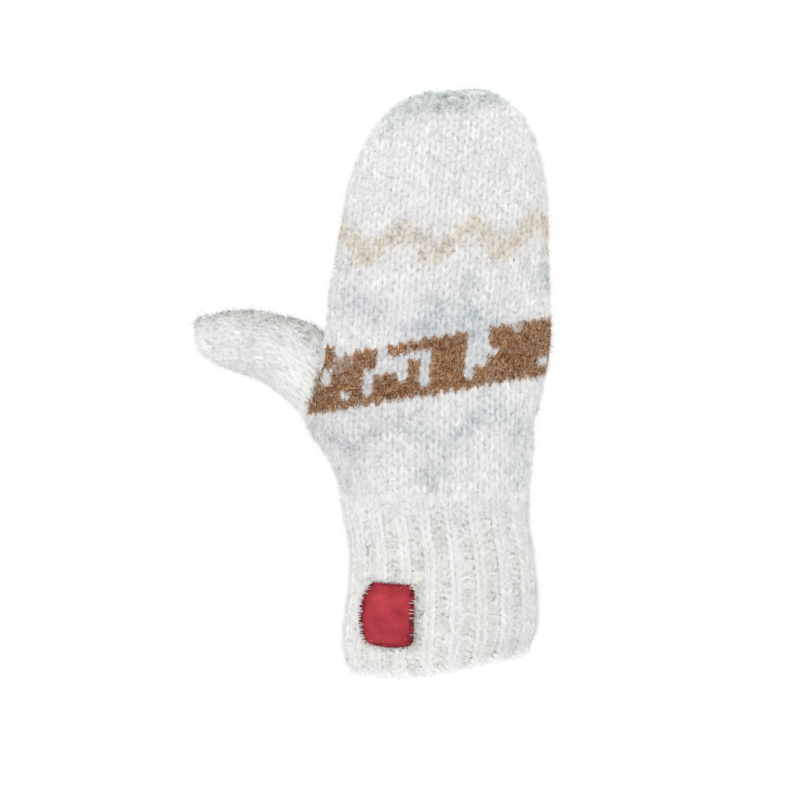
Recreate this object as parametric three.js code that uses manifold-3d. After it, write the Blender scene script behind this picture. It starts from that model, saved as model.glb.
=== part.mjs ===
import * as THREE from "three";
import { mergeVertices } from "three/addons/utils/BufferGeometryUtils.js";
import Module from "manifold-3d";

// A knitted mitten for the right hand, in millimetres, in the form that it has when worn.
// +Z runs from the wrist opening to the fingertips, -Y is the back of the hand, -X is the thumb side.
// The origin is the centre of the wrist opening.

// Cloth
const KNIT_WALL = 3.6;
const SEAM_GAP = 0.3;

// Cuff: the part of the body below the first plain row, in one-and-one rib
const CUFF_TOP = 74;
const RIB_COUNT = 20;
const RIB_DEPTH = 1.8;
const RIB_FADE = 12;
const RIM_RISE = 8;
const RISE_FROM_X = -20;
const RISE_TO_X = 42;

// Tip: the body's top edge has two lobes with a dent between them
const DENT_X = 3.4;
const DENT_DEPTH = 1.6;
const DENT_WIDTH = 4.5;
const DENT_START = 235;

// How square the sections are: 1 is an ellipse, and lower values are boxier
const BODY_ROUNDNESS = 0.84;
const THUMB_ROUNDNESS = 0.94;

// Sections of cuff and hand from the rim to the tip, each an oval in the box left to right, front to back
const BODY = [
  { z: 0, left: -39.8, right: 38.6, front: -27.5, back: 28 },
  { z: 4, left: -41.0, right: 39.4, front: -28, back: 28.5 },
  { z: 8, left: -41.7, right: 41.4, front: -28.5, back: 28.5 },
  { z: 17, left: -41.6, right: 42.1, front: -28.5, back: 28 },
  { z: 27, left: -40.4, right: 41.8, front: -28, back: 27 },
  { z: 38, left: -39.0, right: 41.0, front: -27, back: 26 },
  { z: 49, left: -39.0, right: 39.8, front: -26, back: 25 },
  { z: 59, left: -40.3, right: 38.2, front: -25.3, back: 24 },
  { z: 68, left: -42.2, right: 38.0, front: -24.8, back: 23.2 },
  { z: 76, left: -43.2, right: 38.4, front: -24.3, back: 23 },
  { z: 85, left: -46.2, right: 39.4, front: -23.8, back: 23.2 },
  { z: 93, left: -50.8, right: 40.2, front: -23.4, back: 23.6 },
  { z: 100, left: -55.8, right: 40.4, front: -23, back: 24 },
  { z: 107, left: -58.0, right: 41.0, front: -22.7, back: 24 },
  { z: 114, left: -57.0, right: 43.2, front: -22.4, back: 23.6 },
  { z: 123, left: -53.8, right: 44.8, front: -21.8, back: 22.4 },
  { z: 134, left: -50.4, right: 46.6, front: -21, back: 20.4 },
  { z: 147, left: -48.8, right: 47.3, front: -20, back: 18.4 },
  { z: 161, left: -47.6, right: 47.0, front: -18.8, back: 17.4 },
  { z: 177, left: -44.6, right: 46.4, front: -17.4, back: 17 },
  { z: 193, left: -41.8, right: 46.6, front: -15.8, back: 16.6 },
  { z: 206, left: -39.6, right: 45.6, front: -14.2, back: 16.2 },
  { z: 217, left: -35.6, right: 43.6, front: -12.6, back: 15.4 },
  { z: 227, left: -31.0, right: 40.6, front: -10.6, back: 14.2 },
  { z: 235, left: -24.8, right: 36.6, front: -8.2, back: 12.6 },
  { z: 241, left: -19.4, right: 31.2, front: -5.4, back: 10.6 },
  { z: 245.4, left: -13.2, right: 25, front: -2, back: 8 },
  { z: 247.8, left: -6, right: 18, front: 1.2, back: 5 },
];
const TIP_Z = 248.2;

// Room for the fingers: where its sections begin to drop below the outside's, and its last section
const ROOM_NARROWS_Z = 212;
const ROOM_END_Z = 241;
const ROOM_DOME = 2.5;

// Sections of the thumb from inside the palm out to its tip, each an oval in a plane across X
const THUMB = [
  { x: -30, low: 103, high: 129, front: -12, back: 12.5 },
  { x: -38, low: 97, high: 135, front: -13, back: 15 },
  { x: -46, low: 95, high: 141, front: -13, back: 18.5 },
  { x: -53, low: 95.6, high: 145.6, front: -11.5, back: 21.5 },
  { x: -59, low: 104, high: 148.2, front: -9.8, back: 23 },
  { x: -65, low: 112.6, high: 149.8, front: -8, back: 23.4 },
  { x: -72, low: 118.6, high: 151.6, front: -6, back: 23.6 },
  { x: -79, low: 122.8, high: 152.6, front: -4.4, back: 23.8 },
  { x: -86, low: 125.4, high: 153, front: -3, back: 24 },
  { x: -93, low: 127.8, high: 152.4, front: -1.6, back: 24 },
  { x: -99, low: 130.4, high: 151, front: 0.6, back: 23.4 },
  { x: -103.2, low: 134, high: 149.6, front: 3.4, back: 21.6 },
  { x: -105.6, low: 137.8, high: 146.8, front: 7, back: 18.2 },
];
const THUMB_TIP_X = -106.4;
const BORE_NARROWS_X = -80;
const BORE_END_X = -102;
const BORE_DOME = 1.5;

// Woven label, by its edges on the cuff seen from the front
const LABEL = [
  { z: 10.9, left: -30.0, right: -12.8 },
  { z: 13.9, left: -32.0, right: -11.6 },
  { z: 20.3, left: -33.4, right: -11.4 },
  { z: 28.3, left: -32.6, right: -11.2 },
  { z: 34.3, left: -30.6, right: -11.4 },
  { z: 36.9, left: -28.4, right: -13.0 },
];
const LABEL_THICKNESS = 0.9;
const LABEL_COLUMNS = 12;
const LABEL_ROWS = 12;

// Mesh density
const OUTLINE_SAMPLES = 240;
const CUFF_RINGS = 9;
const RIB_POINTS = 6;
const HAND_RINGS = 26;
const HAND_POINTS = 44;
const ROOM_RINGS = 20;
const ROOM_POINTS = 32;
const THUMB_RINGS = 15;
const THUMB_POINTS = 26;
const BORE_RINGS = 12;
const BORE_POINTS = 24;

// How far a cutting form runs past the face that it opens
const OVERRUN = 5;

const wasm = await Module();
wasm.setup();

// The value of every column of a table at a place between its first row, 0, and its last, 1
function rowAt(table, place) {
  const spot = THREE.MathUtils.clamp(place, 0, 1) * (table.length - 1);
  const below = Math.min(Math.floor(spot), table.length - 2);
  const share = spot - below;
  const last = table.length - 1;
  const rows = [-1, 0, 1, 2].map((step) => table[THREE.MathUtils.clamp(below + step, 0, last)]);
  const found = {};
  for (const column of Object.keys(table[0])) {
    const [a, b, c, d] = rows.map((row) => row[column]);
    const bend = 2 * a - 5 * b + 4 * c - d;
    const twist = 3 * b - a - 3 * c + d;
    found[column] = b + 0.5 * share * (c - a + share * (bend + share * twist));
  }
  return found;
}

// The place in a table where a column that only rises or falls reaches a value
function placeOf(table, column, value) {
  const rising = table.at(-1)[column] > table[0][column];
  let low = 0;
  let high = 1;
  for (let step = 0; step < 40; step += 1) {
    const middle = (low + high) / 2;
    if (rowAt(table, middle)[column] < value === rising) low = middle;
    else high = middle;
  }
  return (low + high) / 2;
}

// An oval inside two spans, as points spaced evenly along it, each with its share of the way round.
// It starts at the far end of the first span and turns towards the far end of the second.
function ovalPoints(spanA, spanB, roundness, count) {
  const soften = (value) => Math.sign(value) * Math.abs(value) ** roundness;
  const at = (turn) => [
    (spanA[0] + spanA[1]) / 2 + ((spanA[1] - spanA[0]) / 2) * soften(Math.cos(turn)),
    (spanB[0] + spanB[1]) / 2 + ((spanB[1] - spanB[0]) / 2) * soften(Math.sin(turn)),
  ];
  const fine = steps(0, 2 * Math.PI, OUTLINE_SAMPLES + 1).map(at);
  const reach = [0];
  for (let i = 1; i < fine.length; i += 1) {
    reach.push(reach[i - 1] + Math.hypot(fine[i][0] - fine[i - 1][0], fine[i][1] - fine[i - 1][1]));
  }
  const points = [];
  let piece = 0;
  for (let i = 0; i < count; i += 1) {
    const wanted = (reach.at(-1) * i) / count;
    while (reach[piece + 1] < wanted) piece += 1;
    const share = (wanted - reach[piece]) / (reach[piece + 1] - reach[piece]);
    const a = THREE.MathUtils.lerp(fine[piece][0], fine[piece + 1][0], share);
    const b = THREE.MathUtils.lerp(fine[piece][1], fine[piece + 1][1], share);
    points.push({ a, b, round: i / count });
  }
  return points;
}

// How far the rim rises across the cuff, from the thumb side to the other
const rimRise = (x) => RIM_RISE * THREE.MathUtils.smoothstep(x, RISE_FROM_X, RISE_TO_X);

// The dent between the lobes of the tip
function tipDent(x, z) {
  const share = THREE.MathUtils.smoothstep(z, DENT_START, TIP_Z);
  return DENT_DEPTH * share * Math.exp(-(((x - DENT_X) / DENT_WIDTH) ** 2));
}

// How far a rib's furrow lies below its crest, at a share of the way round and a height
function furrow(round, z) {
  const fade = 1 - THREE.MathUtils.smoothstep(z, CUFF_TOP - RIB_FADE, CUFF_TOP);
  return (RIB_DEPTH / 2) * fade * (1 + Math.cos(2 * Math.PI * RIB_COUNT * round));
}

// A ring of points on the cuff, inset from its rib crests; below 0 it continues straight down
function cuffRing(z, count, inset) {
  const row = rowAt(BODY, placeOf(BODY, "z", Math.max(z, 0)));
  const ribbed = inset === 0;
  const spanX = [row.left + inset, row.right - inset];
  const spanY = [row.front + inset, row.back - inset];
  const middle = new THREE.Vector2((spanX[0] + spanX[1]) / 2, (spanY[0] + spanY[1]) / 2);
  return ovalPoints(spanX, spanY, BODY_ROUNDNESS, count).map(({ a, b, round }) => {
    const inwards = middle.clone().sub(new THREE.Vector2(a, b)).setLength(ribbed ? furrow(round, z) : 0);
    const lift = rimRise(a) * (1 - z / CUFF_TOP);
    return new THREE.Vector3(a + inwards.x, b + inwards.y, z + lift);
  });
}

// A ring of points on the hand; drop lowers the lining's rings where the bag closes
function handRing(row, count, inset, drop) {
  const spanX = [row.left + inset, row.right - inset];
  const spanY = [row.front + inset, row.back - inset];
  return ovalPoints(spanX, spanY, BODY_ROUNDNESS, count).map(
    ({ a, b }) => new THREE.Vector3(a, b, row.z - tipDent(a, row.z) - drop),
  );
}

// A ring of points round the thumb, in a plane across X
function thumbRing(row, count, inset, shift) {
  const spanY = [row.front + inset, row.back - inset];
  const spanZ = [row.low + inset, row.high - inset];
  const points = ovalPoints(spanY, spanZ, THUMB_ROUNDNESS, count);
  return points.map(({ a, b }) => new THREE.Vector3(row.x + shift, a, b));
}

// A closed solid through rings of points, with a fan from a point at each end
function loft(rings, startPoint, endPoint) {
  const count = rings[0].length;
  const vertices = rings.flat().concat([startPoint, endPoint]);
  const startIndex = vertices.length - 2;
  const endIndex = vertices.length - 1;
  const lastRing = (rings.length - 1) * count;
  const faces = [];
  for (let i = 0; i < count; i += 1) {
    const next = (i + 1) % count;
    faces.push(startIndex, next, i);
    faces.push(endIndex, lastRing + i, lastRing + next);
    for (let ring = 0; ring < lastRing; ring += count) {
      faces.push(ring + i, ring + next, ring + count + next);
      faces.push(ring + i, ring + count + next, ring + count + i);
    }
  }
  return new THREE.BufferGeometry().setFromPoints(vertices).setIndex(faces);
}

// The middle of a ring
function centreOf(ring) {
  const sum = ring.reduce((total, point) => total.add(point), new THREE.Vector3());
  return sum.divideScalar(ring.length);
}

function solidOf(geometry) {
  const merged = mergeVertices(geometry, 1e-4);
  const vertProperties = merged.getAttribute("position").array;
  const triVerts = new Uint32Array(merged.index.array);
  const solid = new wasm.Manifold(new wasm.Mesh({ numProp: 3, vertProperties, triVerts }));
  return solid.volume() < 0 ? solidOf(turnedOver(merged)) : solid;
}

function turnedOver(geometry) {
  const index = Array.from(geometry.index.array);
  for (let i = 0; i < index.length; i += 3) [index[i + 1], index[i + 2]] = [index[i + 2], index[i + 1]];
  return geometry.clone().setIndex(index);
}

function meshOf(name, solid, material) {
  const { vertProperties, triVerts } = solid.getMesh();
  const geometry = new THREE.BufferGeometry();
  geometry.setAttribute("position", new THREE.BufferAttribute(new Float32Array(vertProperties), 3));
  geometry.setIndex(Array.from(triVerts));
  geometry.computeVertexNormals();
  const mesh = new THREE.Mesh(geometry, material);
  mesh.name = name;
  return mesh;
}

// Even steps from one value to another, both ends included
function steps(from, to, count) {
  return Array.from({ length: count }, (_, i) => THREE.MathUtils.lerp(from, to, i / (count - 1)));
}

// Cuff: ribbed outside and plain inside, open at both ends
function cuffSolid() {
  const wall = RIB_DEPTH + KNIT_WALL;
  const outer = steps(0, CUFF_TOP, CUFF_RINGS).map((z) => cuffRing(z, RIB_COUNT * RIB_POINTS, 0));
  const lining = steps(-OVERRUN, CUFF_TOP + OVERRUN, CUFF_RINGS).map((z) => cuffRing(z, ROOM_POINTS, wall));
  const body = solidOf(loft(outer, centreOf(outer[0]), centreOf(outer.at(-1))));
  return body.subtract(solidOf(loft(lining, centreOf(lining[0]), centreOf(lining.at(-1)))));
}

// Hand: the outer form, grown by a clearance where a neighbour is cut to it
function handForm(growth) {
  const start = placeOf(BODY, "z", CUFF_TOP + SEAM_GAP);
  const rows = steps(start, 1, HAND_RINGS).map((place) => rowAt(BODY, place));
  const rings = rows.map((row) => handRing(row, HAND_POINTS, -growth, 0));
  const tip = centreOf(rings.at(-1)).setZ(TIP_Z - DENT_DEPTH + growth);
  return solidOf(loft(rings, centreOf(rings[0]), tip));
}

// The hollow inside the hand, which closes one wall below the tip
function handHollow() {
  const closing = (z) => KNIT_WALL * THREE.MathUtils.smoothstep(z, ROOM_NARROWS_Z, ROOM_END_Z);
  const start = placeOf(BODY, "z", CUFF_TOP - OVERRUN);
  const end = placeOf(BODY, "z", ROOM_END_Z);
  const rows = steps(start, end, ROOM_RINGS).map((place) => rowAt(BODY, place));
  const rings = rows.map((row) => handRing(row, ROOM_POINTS, KNIT_WALL, closing(row.z)));
  const tip = centreOf(rings.at(-1));
  tip.z += ROOM_DOME;
  return solidOf(loft(rings, centreOf(rings[0]), tip));
}

// Thumb: its outer form, and the bore that also opens the hand's wall
function thumbForm() {
  const rows = steps(0, 1, THUMB_RINGS).map((place) => rowAt(THUMB, place));
  const rings = rows.map((row) => thumbRing(row, THUMB_POINTS, 0, 0));
  const tip = centreOf(rings.at(-1)).setX(THUMB_TIP_X);
  return solidOf(loft(rings, centreOf(rings[0]), tip));
}

function thumbBore() {
  const closing = (x) => KNIT_WALL * THREE.MathUtils.smoothstep(-x, -BORE_NARROWS_X, -BORE_END_X);
  const end = placeOf(THUMB, "x", BORE_END_X);
  const rows = steps(0, end, BORE_RINGS).map((place) => rowAt(THUMB, place));
  const rings = rows.map((row) => thumbRing(row, BORE_POINTS, KNIT_WALL, closing(row.x)));
  const tip = centreOf(rings.at(-1));
  tip.x -= BORE_DOME;
  return solidOf(loft(rings, centreOf(rings[0]), tip));
}

// A point on the front of the cuff's rib crests, at an X and a height, moved out by a distance
function cuffFront(x, height, distance) {
  const level = (height - rimRise(x)) / (1 - rimRise(x) / CUFF_TOP);
  const row = rowAt(BODY, placeOf(BODY, "z", level));
  const middle = new THREE.Vector2((row.left + row.right) / 2, (row.front + row.back) / 2);
  const reach = (x - middle.x) / ((row.right - row.left) / 2);
  const depth = (1 - Math.abs(reach) ** (2 / BODY_ROUNDNESS)) ** (BODY_ROUNDNESS / 2);
  const point = new THREE.Vector2(x, middle.y - ((row.back - row.front) / 2) * depth);
  const slope = 2 / BODY_ROUNDNESS - 1;
  const outwards = new THREE.Vector2(
    (Math.sign(reach) * Math.abs(reach) ** slope) / (row.right - row.left),
    -(depth ** slope) / (row.back - row.front),
  );
  point.add(outwards.setLength(distance));
  return new THREE.Vector3(point.x, point.y, height);
}

// Label: two sheets of points joined along their edges
function labelSolid() {
  const rows = steps(0, 1, LABEL_ROWS).map((place) => rowAt(LABEL, place));
  const across = (row) => steps(row.left, row.right, LABEL_COLUMNS);
  const sheet = (distance) => rows.flatMap((row) => across(row).map((x) => cuffFront(x, row.z, distance)));
  const inner = sheet(SEAM_GAP);
  const outer = sheet(SEAM_GAP + LABEL_THICKNESS);
  const faces = [];
  const quad = (a, b, c, d) => faces.push(a, b, c, a, c, d);
  const size = inner.length;
  for (let row = 0; row < LABEL_ROWS - 1; row += 1) {
    for (let column = 0; column < LABEL_COLUMNS - 1; column += 1) {
      const corner = row * LABEL_COLUMNS + column;
      const above = corner + LABEL_COLUMNS;
      quad(size + corner, size + corner + 1, size + above + 1, size + above);
      quad(corner, above, above + 1, corner + 1);
    }
  }
  const lastRow = (LABEL_ROWS - 1) * LABEL_COLUMNS;
  const edge = [];
  for (let column = 0; column < LABEL_COLUMNS - 1; column += 1) edge.push(column);
  for (let row = 1; row < LABEL_ROWS; row += 1) edge.push(row * LABEL_COLUMNS - 1);
  for (let column = LABEL_COLUMNS - 1; column > 0; column -= 1) edge.push(lastRow + column);
  for (let row = LABEL_ROWS - 1; row > 0; row -= 1) edge.push(row * LABEL_COLUMNS);
  edge.forEach((corner, i) => {
    const next = edge[(i + 1) % edge.length];
    quad(corner, next, size + next, size + corner);
  });
  return solidOf(new THREE.BufferGeometry().setFromPoints(inner.concat(outer)).setIndex(faces));
}

const ivoryWool = new THREE.MeshStandardMaterial({ color: "#e6e5e2", roughness: 0.95, metalness: 0 });
const redTwill = new THREE.MeshStandardMaterial({ color: "#8f1a2b", roughness: 0.7, metalness: 0 });

const bore = thumbBore();
const hand = handForm(0).subtract(handHollow()).subtract(bore);
const thumb = thumbForm().subtract(bore).subtract(handForm(SEAM_GAP));

const mitten = new THREE.Group();
mitten.add(meshOf("cuff", cuffSolid(), ivoryWool));
mitten.add(meshOf("hand", hand, ivoryWool));
mitten.add(meshOf("thumb", thumb, ivoryWool));
mitten.add(meshOf("label", labelSolid(), redTwill));

export default mitten;
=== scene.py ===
import math

import bpy
import numpy as np
from mathutils import Matrix, Vector
from mathutils.kdtree import KDTree


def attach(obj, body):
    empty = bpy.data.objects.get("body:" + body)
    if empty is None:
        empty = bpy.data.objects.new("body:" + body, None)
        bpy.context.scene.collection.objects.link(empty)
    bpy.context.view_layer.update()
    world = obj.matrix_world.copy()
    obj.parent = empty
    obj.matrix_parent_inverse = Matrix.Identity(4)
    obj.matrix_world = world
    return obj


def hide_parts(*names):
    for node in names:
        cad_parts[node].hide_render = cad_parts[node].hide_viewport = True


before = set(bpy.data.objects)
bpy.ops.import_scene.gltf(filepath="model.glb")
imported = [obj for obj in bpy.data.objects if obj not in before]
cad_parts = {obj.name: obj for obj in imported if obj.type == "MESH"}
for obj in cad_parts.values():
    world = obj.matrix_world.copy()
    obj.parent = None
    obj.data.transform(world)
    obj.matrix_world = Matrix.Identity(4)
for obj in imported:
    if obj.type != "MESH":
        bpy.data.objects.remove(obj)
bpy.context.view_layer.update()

# The cloth is worked out in millimetres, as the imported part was, and turned to metres in its meshes
MM = 0.001
CIRCLE = 2 * math.pi

# One knit stitch: its width, the height of a row, and the form of its yarn
STITCH_WIDTH = 4.9
ROW_HEIGHT = 3.93
LOOP_FORM = (STITCH_WIDTH, ROW_HEIGHT)
YARN_RADIUS = 1.55
YARN_SWELL = 0.1
LOOP_LEAN = 1.5
LOOP_RISE = 0.8
LOOP_DEPTH = 0.52
LOOP_SIDES = 5
LOOP_STEPS = 11
LOOP_CLEARANCE = 0.3
LOOP_UNDER_OUTSIDE = YARN_RADIUS + LOOP_DEPTH * STITCH_WIDTH / CIRCLE + LOOP_CLEARANCE

# How unevenly stitches lie: drift in place, wobble in radians, and spread of size and shade
LOOP_DRIFT = 0.14
RIM_DRIFT = 0.12
THREAD_DRIFT = 0.05
MOST_DRIFT = 0.36
WOBBLE = 0.08
RIM_WOBBLE = 0.12
THREAD_WOBBLE = 0.2
SIZE_SPREAD = 0.05
MOST_SPREAD = 0.15
SHADE_SPREAD = 0.02

# Least and greatest width and height of a stitch, as shares of a plain one's
WIDTH_LIMITS = (0.5, 1.5)
HEIGHT_LIMITS = (0.6, 1.7)

# The narrowest gap at the side of a row that gets a stitch, as a share of a plain one's width
NARROWEST_SHARE = 0.3

# Purl stitches are turned round, lie looser and flatter, and stand forward in their furrows
PURL_SLACK = 1.8
PURL_FLATNESS = 0.6
PURL_OVERLAP = 1.05
PURL_FORWARD = 0.75

# Cuff: its ribs, and a rim that rises to the right
CUFF_TOP = 74.3
CUFF_ROWS = 22
RIB_COUNT = 20
RIB_DEPTH = 1.4
RIB_FADE = 12
FURROW_SHARE = 0.6
RIM_RISE = 8
RISE_FROM_X = -20
RISE_TO_X = 42

# The rope along the cast-on edge: short strands that lean, and how far they lie under the outside
STRANDS_PER_RIB = 4
STRAND_Z = -0.9
STRAND_SLOPE = 0.75
STRAND_LENGTH = 6
STRAND_RADIUS = 1.4
STRAND_BOW = 0.25
STRAND_TAPER = 0.93
STRAND_SIDES = 6
STRAND_STEPS = 6
STRAND_DEPTH = 1.5

# Tip: a dent between two lobes, of which the one by the thumb is the lower
DENT_X = 3.4
DENT_DEPTH = 2.0
DENT_WIDTH = 4.8
DENT_START = 235
LOBE_DROP = 1.1
LOBE_DROP_FROM_X = 6
LOBE_DROP_TO_X = -4
TIP_Z = 248.2

# Sections of cuff and hand: height, left, right, front, back
BODY = [
    (0, -39.8, 38.6, -27.5, 28),
    (4, -41.0, 39.4, -28, 28.5),
    (8, -41.7, 41.4, -28.5, 28.5),
    (17, -41.6, 42.1, -28.5, 28),
    (27, -40.4, 41.8, -28, 27),
    (38, -39.0, 41.0, -27, 26),
    (49, -39.0, 39.8, -26, 25),
    (59, -40.3, 38.2, -25.3, 24),
    (68, -42.2, 38.0, -24.8, 23.2),
    (76, -43.2, 38.4, -24.3, 23),
    (85, -46.2, 39.4, -23.8, 23.2),
    (93, -50.8, 40.2, -23.4, 23.6),
    (100, -55.8, 40.4, -23, 24),
    (107, -58.0, 41.0, -22.7, 24),
    (114, -57.0, 43.2, -22.4, 23.6),
    (123, -53.8, 44.8, -21.8, 22.4),
    (134, -50.4, 46.6, -21, 20.4),
    (147, -48.8, 47.3, -20, 18.4),
    (161, -47.6, 47.0, -18.8, 17.4),
    (177, -44.6, 46.4, -17.4, 17),
    (193, -41.8, 46.6, -15.8, 16.6),
    (206, -39.6, 45.6, -14.2, 16.2),
    (217, -35.6, 43.6, -12.6, 15.4),
    (227, -31.0, 40.6, -10.6, 14.2),
    (235, -24.8, 36.6, -8.2, 12.6),
    (241, -19.4, 31.2, -5.4, 10.6),
    (245.4, -13.2, 25, -2, 8),
    (247.8, -6, 18, 1.2, 5),
]
TIP = (248.2, 6, 6, 3.1, 3.1)
BODY_ROUNDNESS = 0.84

# How far the palm reaches over the root of the thumb: height, distance
THUMB_WEB = [(110, 0), (120, 3.5), (130, 5), (136, 3.5), (142, 1.5), (146, 0)]

# Sections of the thumb: X, lowest, highest, front, back
THUMB = [
    (-30, 103, 129, -12, 12.5),
    (-38, 97, 135, -13, 15),
    (-46, 95, 141, -13, 18.5),
    (-53, 95.6, 145.6, -11.5, 21.5),
    (-59, 104, 148.2, -9.8, 23),
    (-65, 112.6, 149.8, -8, 23.4),
    (-72, 118.6, 151.6, -6, 23.6),
    (-79, 122.8, 152.6, -4.4, 23.8),
    (-86, 125.4, 153, -3, 24),
    (-93, 127.8, 152.4, -1.6, 24),
    (-99, 130.4, 151, 0.6, 23.4),
    (-103.2, 133.6, 150.4, 3.4, 21.6),
    (-105.6, 137.6, 149, 7, 18.2),
]
THUMB_END = (-106.4, 143.6, 143.6, 12.6, 12.6)
THUMB_ROUNDNESS = 0.94
THUMB_CAP_FROM = 90

# Stitches of the thumb: their width, where the first row lies, and how its rows lean near the root
THUMB_WIDTH = 4.7
THUMB_FEWEST = 5
THUMB_FROM_X = 44
THUMB_LEAN = 0.42
THUMB_LEAN_FROM = 56
THUMB_LEAN_TO = 96

# Rows of the hand aren't level: height at X 0, slope across X, and how far both edges curl up
ROW_SHAPES = [
    (75.3, 0.02, 0),
    (90.3, 0.05, 2),
    (117.4, 0.17, 0),
    (139.2, 0.185, -0.4),
    (172, 0.04, 2),
    (192.3, 0.06, 2.5),
    (227, 0.03, 0),
    (244, 0, 0),
]
CURL_REACH = 45

# Where the first wale stands: on the front it leans over all the way up, on the back near the tip
FRONT_WALE_LEVELS = (75, 117, 140, 248)
FRONT_WALE_PLACES = (-8.4, -8.0, -5.4, 5)
BACK_WALE_X = -1.5
TIP_WALE_X = 5
WALE_LEANS_FROM = 175

# Rows up to here are a piece of their own; where hand and thumb meet, the hand's edge lies on top
PALM_ROWS = 21
THUMB_HIDES_AT = 0.6
HAND_HIDES_AT = 1.6

# Points round a row, and the rounds it takes to settle how high each point of it lies
RING_POINTS = 720
TURN = np.linspace(0, CIRCLE, RING_POINTS + 1)
BODY_ROUNDS = 4
THUMB_ROUNDS = 6

# Least values that keep sums from dividing by nothing, and half the step over which a slope is read
LEAST_STEP = 1e-9
LEAST_HALF_WIDTH = 0.1
LEAST_REACH = 0.01
HALF_STEP = 0.5

# Felted fibres that close the gaps between the loops
FELT_DEPTH = 1.8
CUFF_FELT_DEPTH = 2.5
FELT_THICKNESS = 0.6
FELT_SIDES = 120
FELT_FROM_Z = 1.2
FELT_BELOW_TOP = 0.2
FELT_DEEPEST_SHARE = 0.9
HAND_FELT_RINGS = 80
THUMB_FELT_RINGS = 28
FELT_TURN = np.linspace(0, CIRCLE, FELT_SIDES, endpoint=False)

# Label: height, left and right edge on the front of the cuff
LABEL = [
    (10.9, -30.0, -12.8),
    (13.9, -32.0, -11.6),
    (20.3, -33.4, -11.4),
    (28.3, -32.6, -11.2),
    (34.3, -30.6, -11.4),
    (36.9, -28.4, -13.0),
]
LABEL_COLUMNS = 42
LABEL_ROWS = 48
LABEL_OFF = 0.3
LABEL_THICKNESS = 0.75
LABEL_EDGE_THICKNESS = 0.3
LABEL_ROUNDING = 0.5
LABEL_HEM = 1.4
LABEL_HEM_SLOPE = 0.5
LABEL_HEM_HEIGHT = 0.22
LABEL_COVERS = 1.2

# Waves in the label: height, and turns in radians for each millimetre along X and Z
LABEL_WAVES = [(0.16, 1.1, 0.13), (0.1, 0.2, 0.9)]

# How the label's lower edge sags and its upper edge tilts, over half its width
LABEL_MIDDLE_X = -20.5
LABEL_HALF_WIDTH = 10
LABEL_SAG = 1.5
LABEL_SAG_LOWEST = 0.5
LABEL_TILT = 0.55

# Overlock down the label's sides: the step, the ends left bare, how far in and out a stitch reaches
OVERLOCK_STEP = 0.55
OVERLOCK_ENDS = (1.2, 0.3)
OVERLOCK_IN = (0.9, 1.9)
OVERLOCK_OUT = (0.1, 0.5)
OVERLOCK_LEAN = (-0.7, 0.7)
OVERLOCK_HEIGHTS = (1.35, 1.0)
BARE_THREAD_SHARE = 0.2

# Stitches along its lower and upper hem, in the same order
HEM_STEP = 0.85
HEM_ENDS = (0.9, 0.6)
HEM_IN = (0.7, 1.3)
HEM_OUT = (0.25, 0.6)
HEM_LEAN = (-0.2, 0.2)
HEM_HEIGHTS = (1.3, 0.8)
HEM_DARKEST = 0.8

# One stitch of sewing thread: the length and height that it is scaled from, and the arc that it makes
THREAD_FORM = (1.3, 1)
THREAD_REACH = 0.62
THREAD_HEIGHT = 0.38
THREAD_LIFT = 0.2
THREAD_RADIUS = 0.2
THREAD_SIDES = 5
THREAD_STEPS = 6

# Dyes of the yarn and thread, as linear colours; some also serve as painted shade, as said above each
WHITE = (0.875, 0.875, 0.875)
IVORY = (0.93, 0.93, 0.928)
# Painted shade: a warm tint for the purl stitches in the cuff's furrows
FURROW_SHADE_TINT = (0.93, 0.93, 0.895)
MIST = (0.785, 0.787, 0.805)
TEAL = (0.74, 0.775, 0.785)
# Slate is grey yarn on the tip, and painted shade on the white of its crown
SLATE = (0.69, 0.73, 0.72)
# Painted shade: a green-grey for the top of the thumb
THUMB_TOP_SHADE = (0.50, 0.525, 0.485)
SAND = (0.785, 0.728, 0.65)
# Painted shade: a grey for the right side of the cuff
CUFF_RIGHT_SHADE = (0.885, 0.887, 0.88)
BROWN = (0.405, 0.19, 0.07)
PALE_THREAD = (0.8, 0.76, 0.78)
RED_THREAD = (0.38, 0.03, 0.05)
DARK_THREAD = (0.05, 0.004, 0.008)

# Letters of mixed yarn: its two dyes, and the least and greatest share of the second
HEATHERED = {
    "s": (WHITE, SAND, (0.7, 1.0)),
    "b": (BROWN, TEAL, (0.05, 0.35)),
    "h": (BROWN, TEAL, (0.55, 0.8)),
}

# Brown band over 24 wales, top row first; b and h are brown heathered with a little or much grey
BAND = [
    "wBbbBBwBBBBBBBggBBhBBBBB",
    "BwbbBBwwwwwBBBwgBBBBBBBB",
    "BwBBBwwwwBwBBBwwwBBBBBBB",
    "BBBBBwBBwBwBBBwwBBBBBBBB",
    "BBBwBwBBBBwBBBwBbBBBBwwB",
    "BBBBBBBBBBBBBBBBbBBBBBBB",
]
BAND_FIRST_ROW = 11
BAND_ROWS = range(BAND_FIRST_ROW, BAND_FIRST_ROW + len(BAND))

# Grey hills above the band over 24 wales, top row first
HILLS = [
    ".g......................",
    ".gg.....................",
    "..g..........g......tt..",
    "..gg.........g......tt..",
    ".gggg.....g..g......tt..",
    "..g.ggg..ggg.g........t.",
    ".....gg..ggg.gg.........",
    ".g......gggggggg........",
    ".Bg.....ggggggggg.......",
]
HILLS_FIRST_ROW = 17
HILLS_END = HILLS_FIRST_ROW + len(HILLS)
CHARTS_FIRST_WALE = -10

# Zigzags: the wale where a repeat starts, and the rows in each wale of the repeat
LOW_ZIGZAG = {"start": 2, "rows": [(4, 5), (5, 6), (6, 7), (7, 8), (8, 9), (7, 8), (6, 7), (5, 6)]}
DROPS = {"start": 1, "rows": [(0, 1, 2), (2,), (), (), (), (), (), (2,)]}
SAND_ZIGZAG = {"start": -3, "rows": [(28, 29), (27, 28), (25, 26, 27), (25, 26), (26, 27), (27, 28)]}

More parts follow.
